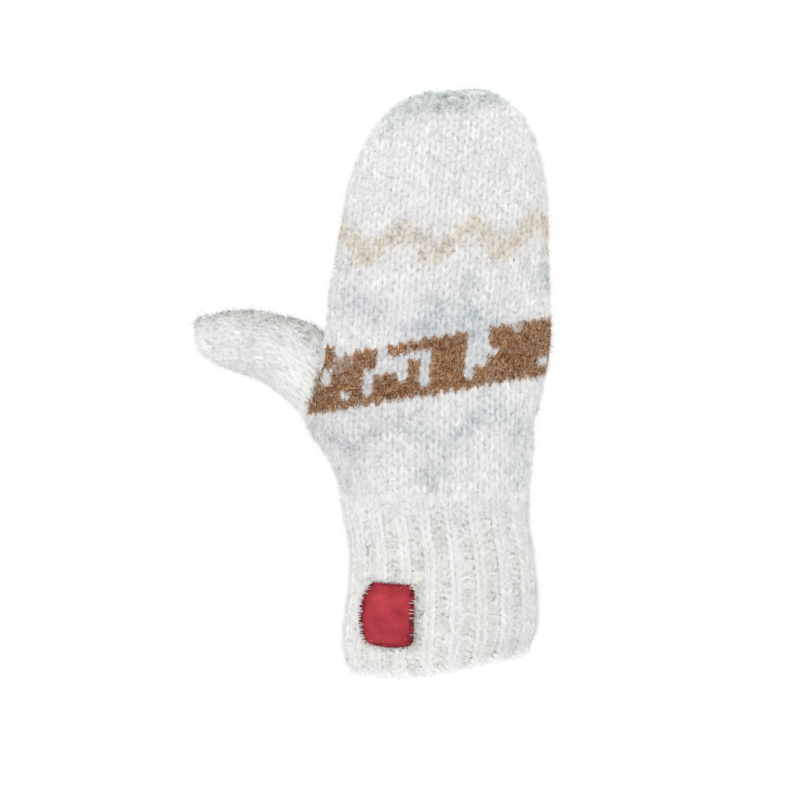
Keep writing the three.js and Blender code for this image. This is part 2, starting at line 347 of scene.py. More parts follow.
# A grey patch over the tip, which runs down its left shoulder and pales there with each wale
TIP_PATCH_ROW = 42
TIP_PATCH_WALES = range(-6, 2)
TIP_PATCH_SLOPES_FROM = -3
TIP_PATCH_FADE = 0.12
# How much painted shade greys the white stitches above the patch, by blending them with slate
TIP_CROWN_SHADE = (0.5, 0.85)

# Grey yarn: its own share of grey, what bleeds in from beside it, and how unevenly both take
BESIDE = [(1, 0), (-1, 0), (0, 1), (0, -1)]
DIAGONAL = [(1, 1), (-1, 1), (1, -1), (-1, -1)]
OWN_GREY = 0.62
GREY_BLEED = 0.5
GREY_SPREAD = (0.45, 1.4)
BAND_GREY = (0.3, 0.9)
SAND_BLEED = 0.13
TEAL_WALES = (-8, 8)
TEAL_SCATTER = 2

# The hand's first rows keep some of the cuff's ivory, and less of it to the right
HAND_IVORY = 0.6
HAND_IVORY_TO_ROW = 2.5
HAND_IVORY_FADE_ROWS = 3
HAND_IVORY_LOSS = 0.6
HAND_IVORY_LOSS_WALES = (-2, 6)

# The cuff turns to the hand's white near its top, where the painted warm shade of its furrows fades, and
# painted shade greys it to the right near its rim
CUFF_DYE_FADE = 36
CUFF_WHITE = 0.2
CUFF_IVORY = 0.8
CUFF_RIGHT_SHADE_TO_X = 36
CUFF_RIGHT_SHADE_LOSS = 0.6

# Painted shade makes the thumb darker along its top
THUMB_IVORY = 0.7
THUMB_SHADE = (0.4, 0.95)
THUMB_SHADE_WIDTH = 0.17

# How much painted shade darkens the gaps beside a stitch, from 0 to the 1 of a purl stitch
HAND_GAPS = 0.58
THUMB_GAPS = 0.3
RIDGE_GAPS = 0.12

# Fuzz, in metres and radians: short down that lies flat, and longer hairs
DOWN = {"Shortest": 0.0015, "Longest": 0.0029, "Least_lean": 1.1, "Most_lean": 1.5}
HAIRS = {"Per_stitch": 4, "Shortest": 0.0022, "Longest": 0.0046, "Least_lean": 0.3, "Most_lean": 1.3}
RIM_DOWN = {
    "Per_stitch": 30,
    "Roots_from": (-0.002, -0.0012, -0.0007),
    "Roots_to": (0.002, -0.0007, 0.0007),
    "Shortest": 0.001,
    "Longest": 0.0019,
    "Least_lean": 0.9,
    "Most_lean": 1.5,
}
DOWN_PER_STITCH = 33
CUFF_DOWN_PER_STITCH = 39
CUFF_NAP_FORWARD = 0.35

# Forms of a fibre with a length of 1: points along it, its radius, and how its map spreads across it
DOWN_PATH = [(0, 0, 0), (0.1, 0.06, 1.0)]
DOWN_RADIUS = 0.065
HAIR_PATH = [(0, 0, 0), (0.12, 0, 0.55), (0.5, 0, 1.0)]
HAIR_RADIUS = 0.013
FIBRE_SIDES = 3
FIBRE_MAP_SPREAD = 5

# Where the roots of the fuzz lie about a stitch's middle, in metres
NAP_FROM = (-STITCH_WIDTH * MM / 2, -0.0021, -ROW_HEIGHT * MM / 2)
NAP_TO = (STITCH_WIDTH * MM / 2, -0.0012, ROW_HEIGHT * MM / 2)

# The margin round each stitch's cell of the map for textures
CELL_MARGIN = 0.08

# Painted shade for small dark gaps in the knit; a pair of numbers is where a share begins and how steeply
# it grows
GAP_SCALE = 560.0
GAPS_OPEN = (0.37, 12.0)
GAP_SHADE_STRENGTH = 0.75
GAP_SHADE_TINT = (0.3, 0.3, 0.26)

# Fibres that show along and round a strand of yarn, and the gammas of a paler and a deeper shade
FIBRES_ALONG = 9.0
FIBRES_AROUND = 12.0
FIBRE_TWIST = 1.5
FIBRE_CHANGE_SCALE = 310.0
FIBRES_PALE = (0.5, 4.0)
SPECK_SCALE = 1300.0
SPECKS_DEEP = (0.47, 6.0)
SPECK_STRENGTH = 0.6
YARN_PALE = 0.75
YARN_DEEP = 1.5

# Single hairs: what their tone is made of, and the gammas of their palest and darkest shade
TONE_DRAWN = 0.85
TONE_CLUMPS = 1.3
TONE_BASE = 0.07
CLUMP_SCALE = 900.0
HAIRS_DEEP = (0.39, 6.0)
HAIRS_PALE = (0.52, 5.0)
HAIR_PALE = 0.35
HAIR_DEEP = 2.5

# Hairs of the palest yarn differ least: where that begins, how steeply, and how much stays
PALE_YARN_EVENS = (0.88, 8.0, 0.1)

# Twill: the pitch of its ribs and threads in metres, its two reds, and what sets its colour between them,
# with painted shade in its hollows and near its lower edge
TWILL_PITCH = 0.00105
TWILL_THREAD_PITCH = 0.00052
TWILL_DEEP = (0.19, 0.01, 0.018)
TWILL_BRIGHT = (0.64, 0.07, 0.09)
TWILL_RIBS = 1.3
TWILL_THREADS = 0.1
TWILL_CLOUDS = 2.2
TWILL_GRAIN = 0.3
TWILL_LOW_SHADE = 0.4
TWILL_LEVEL = 0.33
TWILL_LOW_SHADE_FROM = (0.022, 60.0)

# The overlock's thread is darker by a tint that it is multiplied with
THREAD_SHADE = (0.5, 0.5, 0.5)

# Studio, in metres; a softbox has a name, a place, a size and a power
SOFTBOXES = [("key", (-0.7, -1.0, 0.9), 0.6, 3.0), ("fill", (0.9, -0.9, 0.4), 0.8, 1.5)]
LAMPS_AIM_AT = (-0.01, 0, 0.12)
FLOOR_Z = -0.36
FLOOR_RADIUS = 1.1
FLOOR_SIDES = 96
FLOOR_TINTS = ((0.86, 0.86, 0.86), (0.89, 0.89, 0.89))
CAMERA_PLACE = (-0.0172, -1.0, 0.114)
CAMERA_SENSOR = 36
VIEW_WIDTH_PER_METRE = 0.344
CAMERA_SEES_TO = 20

rng = np.random.default_rng(11)


# Form of the cloth

def smoothstep(value, low, high):
    share = np.clip((value - low) / (high - low), 0, 1)
    return share * share * (3 - 2 * share)


def normalised(vectors):
    return vectors / np.linalg.norm(vectors, axis=-1, keepdims=True)


def blend(first, second, share):
    return tuple(a + (b - a) * share for a, b in zip(first, second))


def splined(table, per_span=24):
    """A table's rows with others between them on one smooth curve."""
    last = len(table) - 1
    rows = []
    for below in range(last):
        a, b, c, d = (np.array(table[min(max(below + step, 0), last)], float) for step in (-1, 0, 1, 2))
        for share in np.arange(per_span) / per_span:
            bend = 2 * a - 5 * b + 4 * c - d
            twist = 3 * b - a - 3 * c + d
            rows.append(b + 0.5 * share * (c - a + share * (bend + share * twist)))
    rows.append(np.array(table[-1], float))
    return np.array(rows)


def looked_up(table, key, value):
    """Every column of a table at a value of its column 'key', which only rises."""
    return [np.interp(value, key, table[:, column]) for column in range(table.shape[1])]


def soften(value, roundness):
    return np.sign(value) * np.abs(value) ** roundness


def spread(low, high, wave, roundness, inset=0):
    """Places from low to high that follow a cosine or sine, with an inset at both ends."""
    return (low + high) / 2 + np.maximum((high - low) / 2 - inset, 0) * soften(wave, roundness)


def off_middle(place, low, high, inset):
    """How far a place is from the middle, as a share of the way to the inset sides."""
    return (place - (low + high) / 2) / np.maximum((high - low) / 2 - inset, LEAST_HALF_WIDTH)


def within(first, second, roundness):
    """Which places lie in a rounded outline, where both are shares of the way to its sides."""
    power = 2 / roundness
    return np.abs(first) ** power + np.abs(second) ** power < 1


def outline(sides, turn, inset=0):
    """X and Y round the hand, from its left, right, front and back."""
    left, right, front, back = sides
    x = spread(left, right, np.cos(turn), BODY_ROUNDNESS, inset)
    return x, spread(front, back, np.sin(turn), BODY_ROUNDNESS, inset)


def centre(sides):
    left, right, front, back = sides
    return np.array([(left + right) / 2, (front + back) / 2, 0])


BODY_CURVE = np.vstack([splined(BODY), TIP])
BODY_CURVE[:, 1] -= np.interp(BODY_CURVE[:, 0], *np.array(THUMB_WEB, float).T)
BODY_HEIGHTS = BODY_CURVE[:, 0]
body_steps = np.hypot(np.diff(BODY_HEIGHTS), np.diff(BODY_CURVE[:, 3]))
BODY_LEVEL = np.concatenate([[0], np.cumsum(body_steps)])
BODY_LEVEL += CUFF_TOP - np.interp(CUFF_TOP, BODY_HEIGHTS, BODY_LEVEL)
TOP_LEVEL = BODY_LEVEL[-1]

THUMB_CURVE = np.vstack([splined(THUMB), THUMB_END])
THUMB_KEY = -THUMB_CURVE[:, 0]
thumb_steps = np.diff(THUMB_KEY)
cap = THUMB_KEY[1:] > THUMB_CAP_FROM
thumb_steps[cap] = np.hypot(thumb_steps[cap], np.diff(THUMB_CURVE[:, 2] - THUMB_CURVE[:, 1])[cap] / 2)
THUMB_LEVEL = THUMB_KEY[0] + np.concatenate([[0], np.cumsum(thumb_steps)])

ROW_SHAPE_TABLE = np.array(ROW_SHAPES, float)
LABEL_CURVE = splined(LABEL)


def tip_dent(x, z):
    """How far the tip sinks between its two lobes and at the lower one."""
    dent = DENT_DEPTH * np.exp(-(((x - DENT_X) / DENT_WIDTH) ** 2))
    drop = LOBE_DROP * smoothstep(-x, -LOBE_DROP_FROM_X, -LOBE_DROP_TO_X)
    return (dent + drop) * smoothstep(z, DENT_START, TIP_Z)


class Ring:
    """A closed row of the cloth: its points, the distance along it to each, and marks on it by name."""

    def __init__(self, points):
        steps = np.linalg.norm(np.diff(points, axis=0), axis=1)
        self.points = points
        self.reach = np.concatenate([[0], np.cumsum(steps + LEAST_STEP)])
        self.length = self.reach[-1]
        self.marks = {}

    def at(self, distance):
        """Points of the row at distances along it."""
        return np.stack(looked_up(self.points, self.reach, np.mod(distance, self.length)), axis=-1)


def body_ring(level):
    """The hand's outside at a level, which is a height measured up its front."""
    _, slope, curl = looked_up(ROW_SHAPE_TABLE, ROW_SHAPE_TABLE[:, 0], level)
    x = np.zeros_like(TURN)
    for _ in range(BODY_ROUNDS):
        there = np.clip(level + slope * x + curl * (x / CURL_REACH) ** 2, CUFF_TOP, TOP_LEVEL)
        z, *sides = looked_up(BODY_CURVE, BODY_LEVEL, there)
        x, y = outline(sides, TURN)
    ring = Ring(np.stack([x, y, z - tip_dent(x, z)], axis=-1))
    half = RING_POINTS // 2
    lean = smoothstep(level, WALE_LEANS_FROM, TIP_Z)
    front_x = np.interp(level, FRONT_WALE_LEVELS, FRONT_WALE_PLACES)
    back_x = BACK_WALE_X + (TIP_WALE_X - BACK_WALE_X) * lean
    ring.marks = {
        "right": ring.length,
        "left": ring.reach[half],
        "front": np.interp(front_x, x[half:], ring.reach[half:]),
        "back": np.interp(-back_x, -x[: half + 1], ring.reach[: half + 1]),
    }
    return ring


def thumb_ring(level):
    """The thumb's outside in a plane that leans back towards the hand near its root."""
    place = np.interp(level, THUMB_LEVEL, THUMB_KEY)
    lean = THUMB_LEAN * (1 - smoothstep(place, THUMB_LEAN_FROM, THUMB_LEAN_TO))
    middle = np.interp(place, THUMB_KEY, (THUMB_CURVE[:, 1] + THUMB_CURVE[:, 2]) / 2)
    along = np.full_like(TURN, place)
    for _ in range(THUMB_ROUNDS):
        _, low, high, front, back = looked_up(THUMB_CURVE, THUMB_KEY, along)
        z = spread(low, high, np.sin(TURN), THUMB_ROUNDNESS)
        along = np.clip(place - lean * (z - middle), THUMB_KEY[0], THUMB_KEY[-1])
    y = spread(front, back, np.cos(TURN), THUMB_ROUNDNESS)
    ring = Ring(np.stack([-along, y, z], axis=-1)[::-1])
    ring.marks = {"top": ring.reach[RING_POINTS * 3 // 4]}
    return ring


def cuff_points(share, z):
    """Points of the cuff's outside at shares of the way round and a height."""
    _, *sides = looked_up(BODY_CURVE, BODY_HEIGHTS, max(z, 0))
    x, y = outline(sides, TURN)
    flat = Ring(np.stack([x, y, np.zeros_like(x)], axis=-1))
    found = flat.at(share * flat.length)
    fade = 1 - smoothstep(z, CUFF_TOP - RIB_FADE, CUFF_TOP)
    furrow = RIB_DEPTH / 2 * fade * (1 + np.cos(CIRCLE * RIB_COUNT * np.mod(share, 1)))
    found = found + normalised(centre(sides) - found) * furrow[:, None]
    rise = RIM_RISE * smoothstep(found[:, 0], RISE_FROM_X, RISE_TO_X)
    found[:, 2] = z + rise * (1 - z / CUFF_TOP)
    return found


def inside_body(points, depth):
    """Which points lie deeper than a depth inside the hand's outside."""
    _, left, right, front, back = looked_up(BODY_CURVE, BODY_HEIGHTS, points[:, 2])
    x = off_middle(points[:, 0], left, right, depth)
    y = off_middle(points[:, 1], front, back, depth)
    return within(x, y, BODY_ROUNDNESS)


def inside_thumb(points, depth):
    """Which points lie deeper than a depth inside the thumb's outside."""
    reach = -points[:, 0]
    _, low, high, front, back = looked_up(THUMB_CURVE, THUMB_KEY, reach)
    y = off_middle(points[:, 1], front, back, depth)
    z = off_middle(points[:, 2], low, high, depth)
    return (reach > THUMB_KEY[0]) & (reach < THUMB_KEY[-1]) & within(y, z, THUMB_ROUNDNESS)


# Dye of each stitch

def in_zigzag(zigzag, row, wale):
    return row in zigzag["rows"][(wale - zigzag["start"]) % len(zigzag["rows"])]


def dye_letter(row, wale):
    """The letter of a stitch's dye: from a chart, a zigzag or the patch on the tip, and otherwise white."""
    for chart, first_row in ((BAND, BAND_FIRST_ROW), (HILLS, HILLS_FIRST_ROW)):
        from_below = row - first_row
        if 0 <= from_below < len(chart):
            letter = chart[-1 - from_below][(wale - CHARTS_FIRST_WALE) % len(chart[0])]
            if letter != ".":
                return letter
    if in_zigzag(SAND_ZIGZAG, row, wale):
        return "s"
    if in_zigzag(LOW_ZIGZAG, row, wale) or in_zigzag(DROPS, row, wale):
        return "g"
    patch_row = TIP_PATCH_ROW - max(TIP_PATCH_SLOPES_FROM - wale, 0)
    if row >= patch_row and wale in TIP_PATCH_WALES:
        return "t"
    return "w"


def dye_of(row, wale):
    """A stitch's dye: grey yarn is heathered, and bleeds into the white beside it; white at the top takes
    painted shade.
    """
    letter = dye_letter(row, wale)
    if letter == "B":
        return BROWN
    if letter in HEATHERED:
        first, second, shares = HEATHERED[letter]
        return blend(first, second, rng.uniform(*shares))
    around = np.mean([dye_letter(row + r, wale + w) in "gt" for r, w in BESIDE + DIAGONAL])
    share = (OWN_GREY * (letter in "gt") + GREY_BLEED * around) * rng.uniform(*GREY_SPREAD)
    if row in BAND_ROWS:
        share = max(share, rng.uniform(*BAND_GREY))
    if row > HILLS_END:
        share *= 1 - TIP_PATCH_FADE * max(-1 - wale, 0)
    # Painted shade: white stitches above the patch are greyed with slate to dim the brightly lit crown
    if row > TIP_PATCH_ROW and letter == "w":
        return blend(WHITE, SLATE, rng.uniform(*TIP_CROWN_SHADE))
    grey = TEAL
    if letter != "t":
        grey = blend(MIST, TEAL, float(smoothstep(wale + rng.normal(0, TEAL_SCATTER), *TEAL_WALES)))
    elif row > HILLS_END:
        grey = SLATE
    low = smoothstep(HAND_IVORY_TO_ROW - row, 0, HAND_IVORY_FADE_ROWS)
    to_left = 1 - HAND_IVORY_LOSS * smoothstep(wale, *HAND_IVORY_LOSS_WALES)
    ground = blend(WHITE, IVORY, HAND_IVORY * float(low * to_left))
    sandy = sum(dye_letter(row + r, wale + w) == "s" for r, w in BESIDE)
    return blend(blend(ground, SAND, SAND_BLEED * sandy), grey, share)


# Place of each stitch

class Stitches:
    """Stitches: the middle of each, its ways along the row and up the wale, the painted shade of its gaps,
    and its dye.
    """

    COLUMNS = ("middle", "across", "up", "gaps", "dye")

    def __init__(self):
        for name in self.COLUMNS:
            setattr(self, name, [])

    def add(self, *columns):
        for name, values in zip(self.COLUMNS, columns):
            getattr(self, name).extend(values)

    def add_row(self, low, mid, high, spot, gaps, dyes):
        """Adds a row between two rings; spot gives its points on a ring, moved by shares of a stitch."""
        across = spot(mid, 0.5) - spot(mid, -0.5)
        self.add(spot(mid, 0), across, spot(high, 0) - spot(low, 0), [gaps] * len(dyes), dyes)

    def where(self, keep):
        chosen = Stitches()
        for name in self.COLUMNS:
            getattr(chosen, name).extend(value for value, kept in zip(getattr(self, name), keep) if kept)
        return chosen


def joined(*parts):
    whole = Stitches()
    for part in parts:
        whole.add(*(getattr(part, name) for name in Stitches.COLUMNS))
    return whole


def row_places(ring):
    """A row's stitches: the mark that each is counted from, its distance from that, its width and wale."""
    found = []
    ends = {}
    for mark, before, after in (("front", "left", "right"), ("back", None, "left")):
        room_before = ring.marks[mark] - ring.marks.get(before, 0)
        room_after = ring.marks[after] - ring.marks[mark]
        first = -int(room_before / STITCH_WIDTH - 0.5)
        last = int(room_after / STITCH_WIDTH - 0.5)
        if min(room_before, room_after) < STITCH_WIDTH * 0.5:
            first, last = 0, -1
        found += [(mark, wale * STITCH_WIDTH, STITCH_WIDTH, wale) for wale in range(first, last + 1)]
        ends[mark] = {
            "first": first,
            "last": last,
            "gap before": room_before + (first - 0.5) * STITCH_WIDTH,
            "gap after": room_after - (last + 0.5) * STITCH_WIDTH,
        }
    front, back = ends["front"], ends["back"]
    sides = (
        ("left", back["gap after"], front["gap before"], front["first"] - 1),
        ("right", front["gap after"], back["gap before"], front["last"] + 1),
    )
    for mark, before, after, wale in sides:
        gap = before + after
        count = max(int(gap / STITCH_WIDTH + 0.5), 1) if gap > NARROWEST_SHARE * STITCH_WIDTH else 0
        found += [(mark, (k + 0.5) * gap / count - before, gap / count, wale) for k in range(count)]
    return found


def hand_stitches():
    """Palm and fingers, row by row from the cuff to the tip."""
    row_count = round((TOP_LEVEL - CUFF_TOP) / ROW_HEIGHT)
    height = (TOP_LEVEL - CUFF_TOP) / row_count
    rings = [body_ring(CUFF_TOP + half * height / 2) for half in range(2 * row_count + 1)]
    rows = []
    for row in range(row_count):
        low, mid, high = rings[2 * row : 2 * row + 3]
        places = row_places(mid)
        if not places:
            continue
        marks, offset, width, wales = zip(*places)

        def spot(ring, shift):
            starts = np.array([ring.marks[mark] for mark in marks])
            return ring.at(starts + np.array(offset) + shift * np.array(width))

        stitches = Stitches()
        stitches.add_row(low, mid, high, spot, HAND_GAPS, [dye_of(row, wale) for wale in wales])
        rows.append(stitches)
    return rows


def cuff_stitches():
    """One-and-one rib: plain stitches on the crests and purl stitches in the furrows."""
    stitches = Stitches()
    height = CUFF_TOP / CUFF_ROWS
    count = 2 * RIB_COUNT
    share = np.arange(count) / count
    purl = np.arange(count) % 2 == 0
    reach = np.where(purl, FURROW_SHARE, 1 - FURROW_SHARE) / count
    for row in range(CUFF_ROWS):
        z = (row + 0.5) * height
        middle = cuff_points(share, z)
        across = cuff_points(share + reach, z) - cuff_points(share - reach, z)
        up = cuff_points(share, z + height / 2) - cuff_points(share, z - height / 2)
        near_hand = float(smoothstep(z, CUFF_TOP - CUFF_DYE_FADE, CUFF_TOP))
        plain = blend(IVORY, WHITE, CUFF_WHITE * near_hand)
        # Painted shade: the purl stitches in the furrows take a warm tint, less of it near the hand
        turned = blend(FURROW_SHADE_TINT, IVORY, CUFF_IVORY * near_hand)
        # Painted shade in the gaps: full in the purl furrows below the top row, slight on the ridges
        gaps = np.where(purl & (row < CUFF_ROWS - 1), 1.0, RIDGE_GAPS)
        # Painted shade: the cuff is greyed to the right, most near its rim
        right_shade = smoothstep(middle[:, 0], 0, CUFF_RIGHT_SHADE_TO_X) * (1 - CUFF_RIGHT_SHADE_LOSS * z / CUFF_TOP)
        dyes = [blend(turned if back else plain, CUFF_RIGHT_SHADE, part) for back, part in zip(purl, right_shade)]
        stitches.add(middle, across, up, gaps, dyes)
    return stitches


def thumb_stitches():
    """The thumb's wales run along it, from inside the hand to its tip."""
    stitches = Stitches()
    row_count = round((THUMB_LEVEL[-1] - THUMB_FROM_X) / ROW_HEIGHT)
    spacing = (THUMB_LEVEL[-1] - THUMB_FROM_X) / row_count
    ground = blend(WHITE, IVORY, THUMB_IVORY)
    for row in range(row_count):
        level = THUMB_FROM_X + (row + 0.5) * spacing
        low, mid, high = (thumb_ring(level + step * spacing) for step in (-0.5, 0, 0.5))
        count = max(int(round(mid.length / THUMB_WIDTH)), THUMB_FEWEST)
        width = mid.length / count
        offset = (np.arange(count) - count // 2) * width

        def spot(ring, shift):
            return ring.at(ring.marks["top"] + (offset + shift * width) * ring.length / mid.length)

        # Painted shade along the thumb's top, uneven from stitch to stitch
        near_top = np.exp(-((offset / (THUMB_SHADE_WIDTH * mid.length)) ** 2))
        shade = near_top * rng.uniform(*THUMB_SHADE, count)
        stitches.add_row(low, mid, high, spot, THUMB_GAPS, [blend(ground, THUMB_TOP_SHADE, part) for part in shade])
    return stitches


def rim_strands():
    """The rope along the cast-on edge: two strands to each wale of the rib."""
    strands = Stitches()
    count = STRANDS_PER_RIB * RIB_COUNT
    share = (np.arange(count) + 0.5) / count
    middle = cuff_points(share, STRAND_Z)
    before, after = (cuff_points(share + half / count, STRAND_Z) for half in (-0.5, 0.5))
    across = normalised(after - before)
    along = normalised(across + np.array([0.0, 0.0, -STRAND_SLOPE]))
    up = normalised(np.cross(np.cross(across, (0, 0, 1.0)), along))
    strands.add(middle, along * STRAND_LENGTH, up, [0.0] * count, [IVORY] * count)
    return strands


# Meshes

def linked(name, data):
    """A new object of the scene."""
    thing = bpy.data.objects.new(name, data)
    bpy.context.collection.objects.link(thing)
    return thing


def mesh_object(name, vertices, faces, scale=MM):
    mesh = bpy.data.meshes.new(name)
    mesh.from_pydata([tuple(float(c) * scale for c in v) for v in vertices], [], faces)
    mesh.update()
    return linked(name, mesh)


def smooth(mesh):
    mesh.polygons.foreach_set("use_smooth", [True] * len(mesh.polygons))


def add_attribute(mesh, name, kind, values):
    """Stores a value for each point of a mesh."""
    field = {"FLOAT_VECTOR": "vector", "FLOAT_COLOR": "color"}.get(kind, "value")
    mesh.attributes.new(name, kind, "POINT").data.foreach_set(field, np.ravel(values))


def ring_faces(first, second, sides):
    """Faces between two rings of a mesh in which each ring's vertices follow one another."""
    a, b = first * sides, second * sides
    return [(a + s, a + t, b + t, b + s) for s, t in zip(range(sides), [*range(1, sides), 0])]


def tube_object(name, path, radii, sides):
    """A closed tube along a path, with a map named yarn, whose U runs along it and V round it."""
    tangents = normalised(np.gradient(path, axis=0))
    side = np.cross(tangents[0], [0.0, 1.0, 0.0])
    angles = [CIRCLE * s / sides for s in range(sides)]
    vertices = []
    for point, tangent, radius in zip(path, tangents, radii):
        side = normalised(side - tangent * (side @ tangent))
        other = np.cross(tangent, side)
        vertices += [point + radius * (math.cos(a) * side + math.sin(a) * other) for a in angles]
    faces, corners = [], []
    spans = len(path) - 1
    for k in range(spans):
        faces += ring_faces(k, k + 1, sides)
        for s in range(sides):
            u, end = k / spans, (k + 1) / spans
            v, next_v = s / sides, (s + 1) / sides
            corners += [(u, v), (u, next_v), (end, next_v), (end, v)]
    faces.append(tuple(reversed(range(sides))))
    corners += [(0.0, s / sides) for s in reversed(range(sides))]
    faces.append(tuple(spans * sides + s for s in range(sides)))
    corners += [(1.0, s / sides) for s in range(sides)]
    thing = mesh_object(name, vertices, faces)
    thing.data.uv_layers.new(name="yarn").data.foreach_set("uv", np.ravel(corners))
    smooth(thing.data)
    return thing


def knit_loop():
    """One stitch of yarn: X along the row, -Y out of the cloth, Z up the wale."""
    turn = np.linspace(-math.pi, math.pi, LOOP_STEPS)
    unit = STITCH_WIDTH / CIRCLE
    x = (turn + LOOP_LEAN * np.sin(2 * turn)) * unit
    y = LOOP_DEPTH * np.cos(2 * turn) * unit
    z = LOOP_RISE * ROW_HEIGHT * np.cos(turn)
    radii = YARN_RADIUS * (1 - YARN_SWELL * (1 + np.cos(2 * turn)))
    return tube_object("loop_form", np.stack([x, y, z], axis=-1), radii, LOOP_SIDES)


def strand():
    """A short spindle of yarn, for the rope of the cast-on edge: X along it."""
    along = np.linspace(-1, 1, STRAND_STEPS)
    bow = STRAND_BOW * np.cos(along * math.pi)
    path = np.stack([along * STRAND_LENGTH / 2, bow, np.zeros(STRAND_STEPS)], axis=-1)
    radii = STRAND_RADIUS * np.sqrt(1 - (along * STRAND_TAPER) ** 2)
    return tube_object("strand_form", path, radii, STRAND_SIDES)


def thread_arc():
    """One stitch of sewing thread over an edge: X along it, -Y out."""
    turn = np.linspace(0, math.pi, THREAD_STEPS)
    height = THREAD_LIFT - THREAD_HEIGHT * np.sin(turn)
    path = np.stack([-THREAD_REACH * np.cos(turn), height, np.zeros(THREAD_STEPS)], axis=-1)
    return tube_object("thread_form", path, np.full(THREAD_STEPS, THREAD_RADIUS), THREAD_SIDES)


def fibre(name, path, radius):
    """One hair, which tapers to a point: Z away from the cloth, and a length of 1."""
    angles = [CIRCLE * s / FIBRE_SIDES for s in range(FIBRE_SIDES)]
    vertices = []
    for x, y, z in path[:-1]:
        vertices += [(x + radius * math.cos(a), y + radius * math.sin(a), z) for a in angles]
    tip = len(vertices)
    vertices.append(path[-1])
    last_ring = len(path) - 2
    faces = [tuple(reversed(range(FIBRE_SIDES)))]
    for ring in range(last_ring):
        faces += ring_faces(ring, ring + 1, FIBRE_SIDES)
    faces += [(a, b, tip) for a, b, _, _ in ring_faces(last_ring, last_ring, FIBRE_SIDES)]
    thing = mesh_object(name, vertices, faces, 1.0)
    flat = thing.data.uv_layers.new(name="yarn")
    for loop in thing.data.loops:
        x, y, z = thing.data.vertices[loop.vertex_index].co
        flat.data[loop.index].uv = (z, 0.5 + (x + y) * FIBRE_MAP_SPREAD)
    return thing


def skeleton(name, stitches, form=LOOP_FORM, depth=LOOP_UNDER_OUTSIDE, drift=LOOP_DRIFT, nap=False):
    """A mesh with a point for each stitch, which carries its turn, size, painted gap shade and dye."""
    middle, across, up, gaps, dye = (np.array(getattr(stitches, column)) for column in Stitches.COLUMNS)
    purl = np.zeros(len(gaps), bool) if nap else gaps == 1
    slack = np.where(purl, PURL_SLACK, 1.0)[:, None]
    facing = np.where(purl, -1.0, 1.0)[:, None]
    up_way = normalised(up)
    inwards = normalised(np.cross(up_way, across))
    across_way = np.cross(inwards, up_way)
    shift = np.clip(rng.normal(0, drift, middle.shape) * slack, -MOST_DRIFT, MOST_DRIFT)
    forward = np.where(purl, PURL_FORWARD, 0.0)[:, None]
    thing = mesh_object(name, middle + inwards * (depth - forward) + shift, [])
    axes = np.stack([across_way * facing, inwards * facing, up_way], axis=-1)
    wide = np.clip(np.linalg.norm(across, axis=1) / form[0], *WIDTH_LIMITS)
    high = np.clip(np.linalg.norm(up, axis=1) / form[1], *HEIGHT_LIMITS)
    thick = np.where(purl, PURL_FLATNESS, 1.0)
    size = np.stack([wide, thick, high * np.where(purl, PURL_OVERLAP, 1.0)], axis=-1)
    size = size * (1 + np.clip(rng.normal(0, SIZE_SPREAD, size.shape) * slack, -MOST_SPREAD, MOST_SPREAD))
    shade = 1 + rng.normal(0, SHADE_SPREAD, (len(middle), 1))
    colour = np.hstack([np.clip(dye * shade, 0, 1), np.ones((len(middle), 1))])
    add_attribute(thing.data, "turn", "QUATERNION", [tuple(Matrix(way).to_quaternion()) for way in axes])
    add_attribute(thing.data, "size", "FLOAT_VECTOR", size)
    add_attribute(thing.data, "gaps", "FLOAT", gaps)
    add_attribute(thing.data, "dye", "FLOAT_COLOR", colour)
    return thing


# Trees of Geometry Nodes

class Nodes:
    """A tree of nodes in the making."""

    def __init__(self, tree):
        self.tree = tree

    def give(self, socket, value):
        """Links or sets an input; of a whole node, its first output that is in use is linked."""
        if isinstance(value, Value):
            value = value.socket
        if isinstance(value, bpy.types.Node):
            value = next(output for output in value.outputs if output.enabled)
        if isinstance(value, bpy.types.NodeSocket):
            self.tree.links.new(value, socket)
        elif socket.type == "RGBA":
            socket.default_value = (*value, 1.0)
        else:
            socket.default_value = value

    def node(self, kind, settings=None, *ordered, **by_identifier):
        """Adds a node, sets its settings, then the values or links of its inputs."""
        made = self.tree.nodes.new(kind)
        for name, value in (settings or {}).items():
            setattr(made, name, value)
        for socket, value in zip(made.inputs, ordered):
            self.give(socket, value)
        for name, value in by_identifier.items():
            self.give(next(s for s in made.inputs if s.identifier.replace(" ", "_") == name), value)
        return made


